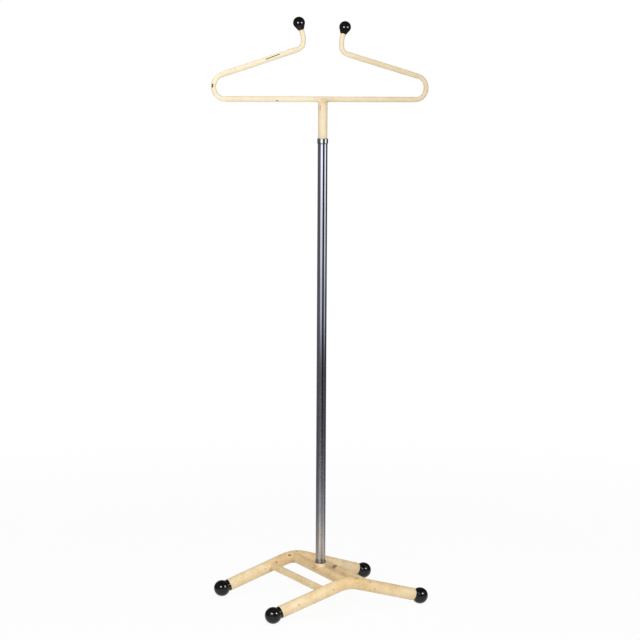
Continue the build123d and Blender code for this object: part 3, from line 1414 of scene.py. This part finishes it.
@dataclass
class Seat:
    """What carries the column: the ring welded on the cross tube, and the stud through it."""

    cross_radius: float
    cross_z: float
    cross_slope: float
    bead: float
    radius: float = 0.0108
    top_z: float = 0.0785
    skirt: float = 0.004
    bore: float = 0.004
    edge: float = 0.0008
    sink: float = 0.0004
    touch: float = 1e-6
    arc_turn: float = 12.0
    weld_steps: int = 96
    sides: int = 96

    def over_tube(self, x: float, y: float) -> float:
        """Height of the cross tube's top above a point."""
        return self.cross_z + self.cross_slope * y + math.sqrt(max(0.0, self.cross_radius**2 - x * x))

    def ring(self) -> Mesh:
        """Makes the seat ring, its foot cut to the cross tube.

        Returns:
            The mesh.
        """
        low = self.cross_z + self.skirt
        corners = (
            rim(self.bore, low),
            rim(self.radius, low),
            rim(self.radius, self.top_z, self.edge),
            rim(self.bore, self.top_z),
        )

        def fit(spot: Vector) -> Vector:
            """Lifts the foot onto the tube.

            Args:
                spot: A point of the turned ring.

            Returns:
                The point in its place.
            """
            if spot.z < low + self.touch:
                spot.z = max(low, self.over_tube(spot.x, spot.y) - self.sink)
            return spot

        outline = rounded(corners, True, self.arc_turn)
        return closed_mesh(turned(outline, self.sides, fit), "column_seat_ring")

    def weld_line(self) -> list[Vector]:
        """Finds the corner between the seat ring and the cross tube.

        Returns:
            The corner's points.
        """
        line = []
        for step in range(self.weld_steps):
            angle = 2 * math.pi * step / self.weld_steps
            x, y = self.radius * math.cos(angle), self.radius * math.sin(angle)
            line.append(Vector((x, y, max(self.cross_z + self.skirt, self.over_tube(x, y)))))
        return line

    def make(self, shop: Workshop) -> None:
        """Builds and dresses the seat.

        Args:
            shop: The shared materials and trees.
        """
        shop.dress(self.ring(), "seat_ring", Body.STAND, Slot.BASE_ENAMEL, ["column_seat"])
        weld = shop.weld("seat_weld", [self.weld_line()], self.bead)
        shop.dress(weld, "seat_weld", Body.STAND, Slot.BASE_ENAMEL, ["seat_weld_bead"])
        shop.repaint("column_stud", Slot.STEEL)


@dataclass
class Column:
    """The chromed column with its flared foot, its collar and the loose washer on top."""

    radius: float = 0.010
    wall: float = 0.001
    foot_z: float = 0.0785
    flare: float = 0.0013
    flare_height: float = 0.009
    rim_height: float = 0.002
    rolled_edge: float = 0.0004
    flare_edge: float = 0.0005
    flare_round: float = 0.002
    shoulder_round: float = 0.010
    tube_turn: float = 3.0
    collar_top_z: float = 0.957
    collar_height: float = 0.010
    collar_radius: float = 0.0111
    collar_lip: float = 0.0015
    collar_edge: float = 0.0005
    collar_crown: float = 0.0012
    mouth_edge: float = 0.0003
    collar_turn: float = 9.0
    mouth_radius: float = 0.0081
    washer_radius: float = 0.0095
    washer_thickness: float = 0.001
    washer_edge: float = 0.0003
    washer_bore_edge: float = 0.0002
    washer_turn: float = 18.0
    crease: float = 50.0
    sides: int = 128

    def tube(self) -> Mesh:
        """Makes the column's tube, flared and rolled at its foot.

        Returns:
            The mesh.
        """
        outer = self.radius
        inner = self.radius - self.wall
        low, top = self.foot_z, self.collar_top_z - self.collar_lip
        rolled = low + self.rim_height
        shoulder = low + self.flare_height
        outline = (
            (inner + self.flare, low, self.rolled_edge),
            (outer + self.flare, low, self.flare_edge),
            (outer + self.flare, rolled, self.flare_round),
            (outer, shoulder, self.shoulder_round),
            (outer, top),
            (inner, top),
            (inner, shoulder),
            (inner + self.flare, rolled),
        )
        return lathe("column_pipe", outline, True, self.tube_turn, self.sides, self.crease)

    def collar(self) -> Mesh:
        """Makes the ring over the column's mouth.

        Returns:
            The mesh.
        """
        top, low = self.collar_top_z, self.collar_top_z - self.collar_height
        lip = top - self.collar_lip
        outline = (
            (self.radius, low),
            (self.collar_radius, low, self.collar_edge),
            (self.collar_radius, top, self.collar_crown),
            (self.mouth_radius, top, self.mouth_edge),
            (self.mouth_radius, lip),
            (self.radius, lip),
        )
        return lathe("collar_ring", outline, True, self.collar_turn, self.sides, self.crease)

    def washer(self) -> Mesh:
        """Makes the loose washer between the collar and the hanger's stem.

        Returns:
            The mesh.
        """
        low = self.collar_top_z
        top = low + self.washer_thickness
        outline = (
            (self.mouth_radius, low, self.washer_bore_edge),
            (self.washer_radius, low, self.washer_edge),
            (self.washer_radius, top, self.washer_edge),
            (self.mouth_radius, top, self.washer_bore_edge),
        )
        return lathe("washer_ring", outline, True, self.washer_turn, self.sides, self.crease)

    def make(self, shop: Workshop) -> None:
        """Builds and dresses the column.

        Args:
            shop: The shared materials and trees.
        """
        shop.dress(self.tube(), "column", Body.STAND, Slot.COLUMN_CHROME, ["column_tube"])
        shop.dress(self.collar(), "collar", Body.STAND, Slot.COLLAR_CHROME, ["column_collar"])
        shop.dress(self.washer(), "washer", Body.WASHER, Slot.FIBRE, ["thrust_washer"])
        shop.repaint("column_bush", Slot.BRASS)
        shop.repaint("column_plug", Slot.STEEL)


@dataclass(frozen=True)
class RodEnd:
    """One half of the hanger rod, whose two ends are bent a little differently."""

    side: Side
    arm_angle: float
    upright_x: float
    lean: float
    tip_x: float
    tip_z: float

    @property
    def tip(self) -> Vector:
        """Centre of the tip ball."""
        return Vector((self.side.value * self.tip_x, 0.0, self.tip_z))

    @property
    def down_rod(self) -> Vector:
        """Unit vector from the tip ball down the rod's end."""
        turn = math.radians(self.lean)
        return Vector((-self.side.value * math.sin(turn), 0.0, -math.cos(turn)))


@dataclass
class Hanger:
    """The turning hanger: one bent rod, its stem and spigot, and the two tip balls."""

    rod_radius: float = 0.0056
    bend_thinning: float = 0.12
    bar_z: float = 1.036
    loop_reach: float = 0.2433
    loop_bend: float = 0.0242
    upright_bend: float = 0.017
    lean_bend: float = 0.030
    neck_length: float = 0.0145
    tip_radius: float = 0.012
    taper_start: float = 0.007
    tip_neck_radius: float = 0.006
    stem_radius: float = 0.0095
    stem_wall: float = 0.0015
    stem_foot_z: float = 0.958
    stem_top_z: float = 1.0334
    stem_plug: float = 0.008
    stem_edge: float = 0.0007
    stem_top_edge: float = 0.0004
    bore_edge: float = 0.0003
    side_weld_share: float = 0.72
    weld_sink: float = 0.0002
    bead: float = 0.0018
    spigot_radius: float = 0.008
    spigot_chamfer: float = 0.002
    spigot_edge: float = 0.0006
    spigot_foot_edge: float = 0.0004
    spigot_turn: float = 10.0
    spigot_foot_z: float = 0.862
    spigot_top_z: float = 0.993
    rod_edge: float = 0.0005
    neck_edge: float = 0.0008
    arc_turn: float = 2.5
    edge_turn: float = 12.0
    tip_rings: int = 40
    weld_steps: int = 96
    sides: int = 96
    left: RodEnd = RodEnd(Side.LEFT, 17.1, 0.0449, 20.0, 0.055, 1.188)
    right: RodEnd = RodEnd(Side.RIGHT, 14.4, 0.0424, 17.0, 0.0502, 1.1815)

    def corners(self, end: RodEnd) -> list[Corner]:
        """Corners of one half of the rod, from the tip ball's neck to beyond the loop.

        Args:
            end: The half's bends.

        Returns:
            The corners with their bend radii.
        """
        arm = math.radians(end.arm_angle)
        touch_x = self.loop_reach - self.loop_bend + self.loop_bend * math.sin(arm)
        touch_z = self.bar_z + self.loop_bend * (1 + math.cos(arm))
        neck = end.tip + end.down_rod * self.neck_length
        lean_z = end.tip_z - (end.tip_x - end.upright_x) / math.tan(math.radians(end.lean))
        shoulder_z = touch_z + (touch_x - end.upright_x) * math.tan(arm)
        loop_x = touch_x + (touch_z - self.bar_z) / math.tan(arm)
        sign = end.side.value
        return [
            Corner(neck),
            Corner(Vector((sign * end.upright_x, 0.0, lean_z)), self.lean_bend),
            Corner(Vector((sign * end.upright_x, 0.0, shoulder_z)), self.upright_bend),
            Corner(Vector((sign * loop_x, 0.0, self.bar_z)), self.loop_bend),
        ]

    def rod(self, shop: Workshop) -> Mesh:
        """Bends the rod from tip to tip.

        Args:
            shop: The shared materials and trees.

        Returns:
            The mesh.
        """
        corners = self.corners(self.left) + self.corners(self.right)[::-1]
        line = rounded(corners, False, self.arc_turn)
        edge = self.rod_edge
        return shop.bent_tube("hanger_tube", line, self.rod_radius, edge, self.bend_thinning)

    def tip_ball(self, end: RodEnd, name: str) -> Mesh:
        """A tip ball that tapers to the rod.

        Args:
            end: The half of the rod that it sits on.
            name: The mesh's name.

        Returns:
            The mesh.
        """
        slope = math.acos(self.taper_start / self.tip_radius)
        points = []
        for step in range(self.tip_rings + 1):
            angle = (math.pi - slope) * step / self.tip_rings
            out, up = math.sin(angle), -math.cos(angle)
            points.append(Vector((self.tip_radius * out, 0.0, self.tip_radius * up)))
        points[0].x = 0.0
        edge = [
            rim(points[-1].x, self.taper_start),
            rim(self.tip_neck_radius, self.neck_length, self.neck_edge),
            rim(0.0, self.neck_length),
        ]
        points += rounded(edge, False, self.edge_turn)[1:]
        shape = turned(points, self.sides)
        tilt = UP.rotation_difference(end.down_rod).to_matrix().to_4x4()
        bmesh.ops.transform(shape, matrix=Matrix.Translation(end.tip) @ tilt, verts=shape.verts)
        return closed_mesh(shape, name)

    def stem(self) -> Mesh:
        """Makes the stem tube, closed above under the rod.

        Returns:
            The mesh.
        """
        inner = self.stem_radius - self.stem_wall
        plug_z = self.stem_top_z - self.stem_plug
        outline = (
            (0.0, plug_z),
            (inner, plug_z),
            (inner, self.stem_foot_z, self.bore_edge),
            (self.stem_radius, self.stem_foot_z, self.stem_edge),
            (self.stem_radius, self.stem_top_z, self.stem_top_edge),
            (0.0, self.stem_top_z),
        )
        return lathe("stem_tube", outline, False, self.edge_turn, self.sides)

    def weld_line(self) -> list[Vector]:
        """Finds the corner between the stem and the rod, all round.

        Returns:
            The corner's points.
        """
        line = []
        for step in range(self.weld_steps):
            angle = 2 * math.pi * step / self.weld_steps
            x, y = self.stem_radius * math.cos(angle), self.stem_radius * math.sin(angle)
            under_rod = self.bar_z - math.sqrt(max(0.0, self.rod_radius**2 - y * y))
            line.append(Vector((x, y, min(self.stem_top_z, under_rod))))
        return line

    def side_weld_lines(self) -> list[list[Vector]]:
        """Finds the two corners along the rod, on the stem's top.

        Returns:
            The points of each corner.
        """
        reach = self.stem_radius * self.side_weld_share
        lines = []
        for sign in (-1, 1):
            y = sign * (self.rod_radius - self.weld_sink)
            places = [reach * part for part in (-1.0, -0.5, 0.0, 0.5, 1.0)]
            lines.append([Vector((x, y, self.stem_top_z)) for x in places])
        return lines

    def spigot(self) -> Mesh:
        """Makes the bar under the stem that turns in the column.

        Returns:
            The mesh.
        """
        radius, low, chamfer = self.spigot_radius, self.spigot_foot_z, self.spigot_chamfer
        outline = (
            (0.0, low),
            (radius - chamfer, low, self.spigot_foot_edge),
            (radius, low + chamfer, self.spigot_edge),
            (radius, self.spigot_top_z),
            (0.0, self.spigot_top_z),
        )
        return lathe("spigot_bar", outline, False, self.spigot_turn, self.sides)

    def make(self, shop: Workshop) -> None:
        """Builds and dresses the hanger.

        Args:
            shop: The shared materials and trees.
        """
        hanger = Body.HANGER
        enamel = Slot.HANGER_ENAMEL
        shop.dress(self.rod(shop), "hanger_tube", hanger, enamel, ["hanger_rod"])
        shop.dress(self.stem(), "stem", hanger, enamel, ["hanger_stem", "stem_top_plug"])
        around = shop.weld("stem_weld", [self.weld_line()], self.bead)
        along = shop.weld("stem_side_weld", self.side_weld_lines(), self.bead, False)
        weld = joined("stem_weld", [around, along])
        shop.dress(weld, "stem_weld", hanger, enamel, ["stem_weld_bead"])
        shop.dress(self.spigot(), "spigot", hanger, Slot.STEEL, ["hanger_spigot"])
        for end in (self.left, self.right):
            name = f"{end.side.word}_tip"
            shop.dress(self.tip_ball(end, name), name, hanger, Slot.BALL, [f"tip_ball_{end.side.word}"])
        shop.repaint("tip_pins", Slot.STEEL)


# Studio


@dataclass(frozen=True)
class Card:
    """A studio card that only reflections see.

    The two angles are in plan, in degrees to the right of the line to the camera, and each
    level is a height in metres with the card's brightness there. It stands between its lowest
    and highest level. Its apron lies on the floor before it, with its brightness further out
    and at its inner edge.
    """

    name: str
    start: float
    end: float
    levels: Levels
    apron: tuple[float, float]


LEFT_BOX = ((0.0, 0.12), (0.25, 0.12), (0.45, 0.7), (0.62, 1.0), (0.9, 1.5), (1.5, 1.4), (1.75, 0.1))
RIGHT_BOX = ((0.0, 0.1), (0.25, 0.1), (0.45, 0.6), (0.62, 0.9), (0.9, 1.4), (1.5, 1.3), (1.75, 0.1))


@dataclass(frozen=True)
class Lamp:
    """A soft box that lights surfaces and isn't seen in reflections.

    It hangs at an angle in plan, in degrees to the right of the line to the camera, at a
    distance from the column and a height, and points at the height aim on the column. A white
    surface that faces it gets the brightness level.
    """

    name: str
    degrees: float
    distance: float
    height: float
    aim: float
    size: tuple[float, float]
    level: float


@dataclass
class Studio:
    """The floor, the white surround, the lamps, the cards and the camera."""

    camera_place: Spot = (-1.8502, -3.4584, 1.0498)
    yaw: float = -0.49036
    pitch: float = 0.11756
    roll: float = 0.0052
    lens: float = 108.40
    sensor: float = 36.0
    floor_half: float = 9.0
    shaded_radius: float = 0.7
    white_radius: float = 2.2
    card_distance: float = 1.7
    card_top: float = 1.75
    fill: float = 0.385
    lamps: tuple[Lamp, ...] = (
        Lamp("left_lamp", -20.0, 2.4, 1.2, 0.5, (1.0, 1.4), 0.455),
        Lamp("right_lamp", 36.0, 2.4, 1.2, 0.5, (1.0, 1.4), 0.255),
        Lamp("top_lamp", -20.0, 0.6, 4.2, 0.3, (1.6, 1.6), 0.285),
    )
    glint_degrees: tuple[float, float] = (-20.0, 53.0)
    glint_distance: float = 1.66
    glint_height: float = 1.13
    glint_size: tuple[float, float] = (0.52, 0.44)
    glint_brightness: float = 45.0
    mouldings: bpy.types.Collection = field(
        default_factory=lambda: bpy.data.collections.new("mouldings")
    )
    apron_radius: float = 0.30
    apron_reach: float = 1.3
    apron_lift: float = 0.002
    strip_turn: float = 6.0
    ceiling_level: float = 0.06
    ceiling_corners: int = 36
    ceiling_reach: float = 1.02
    cards: tuple[Card, ...] = (
        Card("left_box", -42.0, 5.0, LEFT_BOX, (0.12, 1.15)),
        Card("right_box", 50.0, 86.0, RIGHT_BOX, (0.12, 0.9)),
        Card("dark_gap", 5.0, 50.0, ((0.0, 0.03), (1.75, 0.025)), (0.05, 0.6)),
        Card("right_dark", 86.0, 157.0, ((0.0, 0.05), (1.75, 0.03)), (0.05, 0.36)),
        Card("back_wall", 157.0, 220.0, ((0.0, 0.3), (1.75, 0.3)), (0.25, 0.3)),
        Card("left_grey", 220.0, 318.0, ((0.0, 0.1), (0.6, 0.13), (1.75, 0.2)), (0.1, 0.34)),
    )

    def directions(self) -> tuple[Vector, Vector, Vector]:
        """Works out how the camera is turned.

        Returns:
            Its right, forward and up.
        """
        cos_yaw, sin_yaw = math.cos(self.yaw), math.sin(self.yaw)
        turn = Matrix(((cos_yaw, sin_yaw, 0), (-sin_yaw, cos_yaw, 0), (0, 0, 1)))
        cos_pitch, sin_pitch = math.cos(self.pitch), math.sin(self.pitch)
        tip = Matrix(((1, 0, 0), (0, cos_pitch, -sin_pitch), (0, sin_pitch, cos_pitch)))
        cos_roll, sin_roll = math.cos(self.roll), math.sin(self.roll)
        bank = Matrix(((cos_roll, 0, sin_roll), (0, 1, 0), (-sin_roll, 0, cos_roll)))
        rows = bank @ tip @ turn
        return Vector(rows[0]), Vector(rows[1]), Vector(rows[2])

    def camera(self) -> None:
        """The camera at the photograph's viewing angle."""
        right, forward, up = self.directions()
        data = bpy.data.cameras.new("camera")
        data.lens = self.lens
        data.sensor_width = self.sensor
        camera = bpy.data.objects.new("camera", data)
        bpy.context.scene.collection.objects.link(camera)
        turn = Matrix((right, up, -forward)).transposed().to_4x4()
        camera.matrix_world = Matrix.Translation(self.camera_place) @ turn
        bpy.context.scene.camera = camera

    def bearing(self, degrees: float) -> Vector:
        """Finds a direction in plan.

        Args:
            degrees: The angle to the right of the line to the camera.

        Returns:
            The level unit vector.
        """
        to_camera = Vector((self.camera_place[0], self.camera_place[1], 0.0)).normalized()
        rightward = Vector((-to_camera.y, to_camera.x, 0.0))
        turn = math.radians(degrees)
        return to_camera * math.cos(turn) + rightward * math.sin(turn)

    def hang_box(
        self,
        name: str,
        place: Vector,
        aim: Vector,
        size: tuple[float, float],
        energy: float,
    ) -> bpy.types.Object:
        """Hangs a rectangular lamp.

        Args:
            name: The lamp's name.
            place: Where it hangs.
            aim: The point that it faces.
            size: Its width and height.
            energy: Its power in watts.

        Returns:
            The lamp.
        """
        data = bpy.data.lights.new(name, "AREA")
        data.shape = "RECTANGLE"
        data.size, data.size_y = size
        data.energy = energy
        box = bpy.data.objects.new(name, data)
        box.location = place
        box.rotation_mode = "QUATERNION"
        box.rotation_quaternion = (aim - place).to_track_quat("-Z", "Y")
        bpy.context.scene.collection.objects.link(box)
        return box

    def light(self) -> None:
        """The soft boxes, and the small bright ones that only the mouldings reflect."""
        for lamp in self.lamps:
            place = self.bearing(lamp.degrees) * lamp.distance + UP * lamp.height
            aim = UP * lamp.aim
            energy = lamp.level * math.pi**2 * (place - aim).length_squared
            box = self.hang_box(lamp.name, place, aim, lamp.size, energy)
            box.visible_glossy = False
        width, height = self.glint_size
        energy = self.glint_brightness * math.pi * width * height
        for side, degrees in zip(Side, self.glint_degrees):
            aim = UP * self.glint_height
            place = self.bearing(degrees) * self.glint_distance + aim
            box = self.hang_box(f"{side.word}_glint", place, aim, self.glint_size, energy)
            box.visible_diffuse = False
            box.light_linking.receiver_collection = self.mouldings

    def emission(self, name: str, levels: Levels, across: bool = False) -> Material:
        """A glowing material whose brightness changes with height, or with distance.

        Args:
            name: The material's name.
            levels: Heights in metres with the brightness there.
            across: Whether they are distances from the column instead.

        Returns:
            The material.
        """
        tree = MaterialTree(name)
        where = tree.place()
        measure = tree.axes(where)[2]
        if across:
            measure = Signal(tree, tree.vector("LENGTH", where).outputs["Value"])
        strength = levels[0][1]
        for (low, dim), (high, bright) in zip(levels, levels[1:]):
            strength = tree.ramp(measure, low, high) * (bright - dim) + strength
        glow = tree.node("ShaderNodeEmission", {}, {"Strength": strength})
        tree.node("ShaderNodeOutputMaterial", {}, {"Surface": glow.outputs[0]})
        tree.material.cycles.emission_sampling = "NONE"
        return tree.material

    def stage_mesh(
        self,
        name: str,
        points: Sequence[Vector],
        faces: Sequence[Sequence[int]],
        material: Material,
    ) -> bpy.types.Object:
        """A flat thing of the studio.

        Args:
            name: Its name.
            points: Its corners.
            faces: Its faces.
            material: Its material.

        Returns:
            The object.
        """
        mesh = bpy.data.meshes.new(name)
        mesh.from_pydata([tuple(point) for point in points], [], faces)
        mesh.materials.append(material)
        thing = bpy.data.objects.new(name, mesh)
        bpy.context.scene.collection.objects.link(thing)
        return thing

    def only_reflected(self, thing: bpy.types.Object) -> None:
        """Hides a card from everything but reflections.

        Args:
            thing: The card.
        """
        thing.visible_camera = False
        thing.visible_diffuse = False
        thing.visible_transmission = False
        thing.visible_shadow = False

    def strip(self, card: Card, name: str, inner: Vector, outer: Vector, material: Material) -> None:
        """A curved strip over a card's angles.

        Args:
            card: The card that gives the angles.
            name: The strip's name.
            inner: Distance from the column and height of its first edge, as x and z.
            outer: The same of its other edge.
            material: Its material.
        """
        steps = max(2, round((card.end - card.start) / self.strip_turn))
        points = []
        for step in range(steps + 1):
            ray = self.bearing(card.start + (card.end - card.start) * step / steps)
            points += [ray * inner.x + UP * inner.z, ray * outer.x + UP * outer.z]
        faces = [(2 * step, 2 * step + 2, 2 * step + 3, 2 * step + 1) for step in range(steps)]
        self.only_reflected(self.stage_mesh(name, points, faces, material))

    def hang_cards(self) -> None:
        """The ring of cards with their aprons, and a dark ceiling over them."""
        distance = self.card_distance
        for card in self.cards:
            low = Vector((distance, 0.0, card.levels[0][0]))
            high = Vector((distance, 0.0, card.levels[-1][0]))
            self.strip(card, card.name, low, high, self.emission(card.name, card.levels))
            name = f"{card.name}_apron"
            levels = ((self.apron_radius, card.apron[1]), (self.apron_reach, card.apron[0]))
            inner = Vector((self.apron_radius, 0.0, self.apron_lift))
            outer = Vector((distance, 0.0, self.apron_lift))
            self.strip(card, name, inner, outer, self.emission(name, levels, True))
        corners = []
        for step in range(self.ceiling_corners):
            ray = self.bearing(360.0 / self.ceiling_corners * step)
            corners.append(ray * self.card_distance * self.ceiling_reach + UP * self.card_top)
        glow = self.emission("ceiling", ((0.0, self.ceiling_level), (1.0, self.ceiling_level)))
        self.only_reflected(self.stage_mesh("ceiling", corners, [range(len(corners))], glow))

    def floor(self) -> None:
        """A pale floor that keeps the stand's shadow and turns white further out."""
        tree = MaterialTree("pale_floor")
        where = tree.place()
        from_middle = Signal(tree, tree.vector("LENGTH", where).outputs["Value"])
        far = tree.ramp(from_middle, self.shaded_radius, self.white_radius)
        paper = tree.node("ShaderNodeBsdfDiffuse", {}, {"Color": (0.86, 0.86, 0.86)})
        white = tree.node("ShaderNodeEmission", {}, {"Strength": 1.0})
        share = tree.seen() * (0.94 + 0.06 * far)
        inputs = {"Fac": share, "Shader": paper.outputs[0], "Shader_001": white.outputs[0]}
        mixed = tree.node("ShaderNodeMixShader", {}, inputs)
        tree.node("ShaderNodeOutputMaterial", {}, {"Surface": mixed.outputs[0]})
        half = self.floor_half
        points = [Vector((x * half, y * half, 0.0)) for x, y in ((-1, -1), (1, -1), (1, 1), (-1, 1))]
        self.stage_mesh("floor", points, [(0, 1, 2, 3)], tree.material)

    def world(self) -> None:
        """A white surround to the eye, and a soft fill to the object."""
        world = bpy.data.worlds.new("surround")
        bpy.context.scene.world = world
        world.use_nodes = True
        tree = NodeTree(world.node_tree)
        strength = self.fill + (1.0 - self.fill) * tree.seen()
        inputs = {"Color": (1.0, 1.0, 1.0), "Strength": strength}
        background = tree.node("ShaderNodeBackground", {}, inputs)
        tree.node("ShaderNodeOutputWorld", {}, {"Surface": background.outputs[0]})

    def make(self) -> None:
        """Sets the studio up."""
        self.camera()
        self.floor()
        self.world()
        self.light()
        self.hang_cards()


HANGER_MARKS = (
    Mark((-0.1310, -0.0052, 1.1147), (-0.1010, -0.0050, 1.1249), 0.0006, 0.0006, shade(30, 24, 20), 0.9),
    Mark((-0.2482, -0.0036, 1.0645), (-0.2482, -0.0036, 1.0600), 0.0020, 0.0006, shade(44, 36, 28), 0.95),
    Mark((0.2480, -0.0036, 1.0560), (0.2470, -0.0038, 1.0515), 0.0020, 0.0006, shade(44, 36, 28), 0.95),
    Mark((-0.1075, -0.0050, 1.0326), (-0.1040, -0.0050, 1.0324), 0.0011, 0.0006, shade(128, 104, 70), 0.85),
    Mark((-0.2070, -0.0052, 1.0402), (-0.2010, -0.0052, 1.0402), 0.0006, 0.0008, shade(175, 160, 130), 0.6),
    Mark((-0.0085, -0.0045, 1.0150), (-0.0082, -0.0048, 1.0230), 0.0009, 0.0012, shade(196, 150, 116), 0.6),
)

BASE_MARKS = (
    # Painted highlight: the seat ring, its weld and the cross tube's top round it, painted near white as if
    # lit.
    Mark((0.0, 0.0, 0.0710), (0.0, 0.0, 0.0790), 0.0118, 0.0008, shade(255, 240, 200), 0.95),
    Mark((0.0500, 0.0275, 0.0580), (0.0500, 0.0315, 0.0580), 0.0020, 0.0060, shade(134, 84, 34), 0.8),
    Mark((-0.0080, -0.0020, 0.0700), (-0.0090, 0.0100, 0.0700), 0.0030, 0.0080, shade(190, 138, 76), 0.45),
    Mark((-0.0176, 0.1095, 0.0723), (-0.0140, 0.1095, 0.0715), 0.0014, 0.0012, shade(96, 62, 32), 0.8),
    Mark((-0.0040, 0.1070, 0.0596), (0.0030, 0.1070, 0.0570), 0.0022, 0.0034, shade(140, 94, 48), 0.75),
    Mark((-0.0696, 0.1085, 0.0631), (-0.0690, 0.1085, 0.0625), 0.0012, 0.0010, shade(104, 70, 38), 0.75),
    Mark((-0.0479, 0.1085, 0.0614), (-0.0470, 0.1085, 0.0608), 0.0012, 0.0012, shade(120, 84, 46), 0.75),
    Mark((0.0080, 0.1085, 0.0640), (0.0140, 0.1085, 0.0620), 0.0020, 0.0040, shade(184, 136, 80), 0.6),
    Mark((-0.0542, 0.0640, 0.0590), (-0.0542, 0.0660, 0.0590), 0.0010, 0.0010, shade(112, 78, 42), 0.7),
    Mark((-0.0092, -0.1285, 0.0800), (-0.0080, -0.1285, 0.0790), 0.0012, 0.0010, shade(104, 70, 38), 0.7),
    Mark((0.0140, -0.1270, 0.0735), (0.0190, -0.1270, 0.0725), 0.0014, 0.0022, shade(150, 104, 56), 0.7),
    Mark((0.0448, -0.1290, 0.0612), (0.0455, -0.1290, 0.0608), 0.0011, 0.0010, shade(104, 70, 38), 0.7),
    Mark((0.0742, -0.1290, 0.0550), (0.0750, -0.1290, 0.0546), 0.0010, 0.0010, shade(112, 78, 42), 0.7),
    Mark((-0.0916, -0.1300, 0.0501), (-0.0910, -0.1300, 0.0497), 0.0012, 0.0010, shade(100, 66, 36), 0.75),
    Mark((-0.1184, -0.1310, 0.0348), (-0.1176, -0.1310, 0.0344), 0.0010, 0.0010, shade(120, 84, 46), 0.7),
)

JOINTS = (
    Joint((-0.008, 0.1080, 0.0560), (0.008, 0.1080, 0.0560), 0.012),
    Joint((-0.008, -0.1080, 0.0560), (0.008, -0.1080, 0.0560), 0.012),
    Joint((0.048, 0.1080, 0.0480), (0.060, 0.1080, 0.0450), 0.010),
    Joint((0.048, -0.1080, 0.0480), (0.060, -0.1080, 0.0450), 0.010),
    Joint((-0.060, 0.1080, 0.0450), (-0.048, 0.1080, 0.0480), 0.010),
    Joint((-0.060, -0.1080, 0.0450), (-0.048, -0.1080, 0.0480), 0.010),
)

STEM_JOINTS = (
    Joint((0.0, -0.006, 1.0310), (0.0, 0.006, 1.0310), 0.0115),
)


def paints() -> dict[Slot, Material]:
    """Builds every finish.

    Returns:
        The materials by their slots.
    """
    finishes = (
        Enamel(
            slot=Slot.HANGER_ENAMEL,
            fresh=shade(242, 228, 198),
            aged=shade(222, 202, 164),
            dirt=shade(196, 170, 124),
            rust=shade(120, 86, 52),
            ageing=0.7,
            middle_reach=0.05,
            right_shade_and_yellowing=0.6,
            mottling=0.08,
            grime=0.4,
            speck_share=0.03,
            roughness=0.5,
            gloss=0.1,
            ripple=0.00001,
            joints=STEM_JOINTS,
            marks=HANGER_MARKS,
        ),
        Enamel(
            slot=Slot.BASE_ENAMEL,
            fresh=shade(244, 226, 188),
            aged=shade(230, 198, 145),
            dirt=shade(194, 150, 98),
            rust=shade(104, 66, 34),
            ageing=1.0,
            middle_reach=0.13,
            right_shade_and_yellowing=0.3,
            mottling=0.4,
            grime=0.4,
            speck_share=0.5,
            roughness=0.38,
            gloss=0.14,
            ripple=0.00004,
            joints=JOINTS,
            marks=BASE_MARKS,
        ),
        Chrome(
            slot=Slot.COLUMN_CHROME,
            bright=(0.60, 0.615, 0.72),
            cloudy=(0.78, 0.70, 0.62),
            pit_and_shade=(0.16, 0.13, 0.10),
            cloud_top=0.62,
            cloud_foot=0.12,
            warm_top=0.24,
            rim_top=0.0805,
            # Painted shadow line just under the collar.
            painted_shadow_z=0.9466,
        ),
        Chrome(
            slot=Slot.COLLAR_CHROME,
            bright=(0.66, 0.66, 0.68),
            cloudy=(0.5, 0.47, 0.46),
            pit_and_shade=(0.18, 0.15, 0.12),
            cloud_top=0.5,
            cloud_foot=0.1,
            warm_top=0.2,
            rim_top=0.9474,
            painted_shadow_z=0.9,
        ),
        BlackBall(
            slot=Slot.BALL,
            body=(0.005, 0.005, 0.005),
            rubbed=(0.012, 0.012, 0.011),
            dust=(0.10, 0.09, 0.08),
            scuff_height=0.0035,
        ),
        TurnedMetal(
            slot=Slot.STEEL,
            bright=(0.56, 0.55, 0.53),
            dull=(0.40, 0.39, 0.37),
            stain=(0.24, 0.17, 0.11),
            metallic=1.0,
        ),
        TurnedMetal(
            slot=Slot.BRASS,
            bright=(0.74, 0.58, 0.30),
            dull=(0.56, 0.42, 0.20),
            stain=(0.26, 0.18, 0.09),
            metallic=1.0,
        ),
        PressedFibre(
            slot=Slot.FIBRE,
            pale=shade(236, 230, 214),
            soaked=shade(196, 184, 156),
            fleck=shade(140, 120, 90),
        ),
    )
    return {finish.slot: finish.build() for finish in finishes}


def main() -> None:
    """Builds the studio and every piece."""
    logging.basicConfig(level=logging.INFO, format="%(message)s")
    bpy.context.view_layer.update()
    bpy.context.scene.view_settings.view_transform = "Standard"
    studio = Studio()
    studio.make()
    shop = Workshop(paints(), studio.mouldings)
    base = Base()
    base.make(shop)
    heights = base.cross_heights()
    middle = (heights[Row.FRONT] + heights[Row.REAR]) / 2
    slope = (heights[Row.REAR] - heights[Row.FRONT]) / (2 * base.leg_y)
    Seat(base.cross_radius, middle, slope, base.bead).make(shop)
    Column().make(shop)
    Hanger().make(shop)


if __name__ == "__main__":
    main()
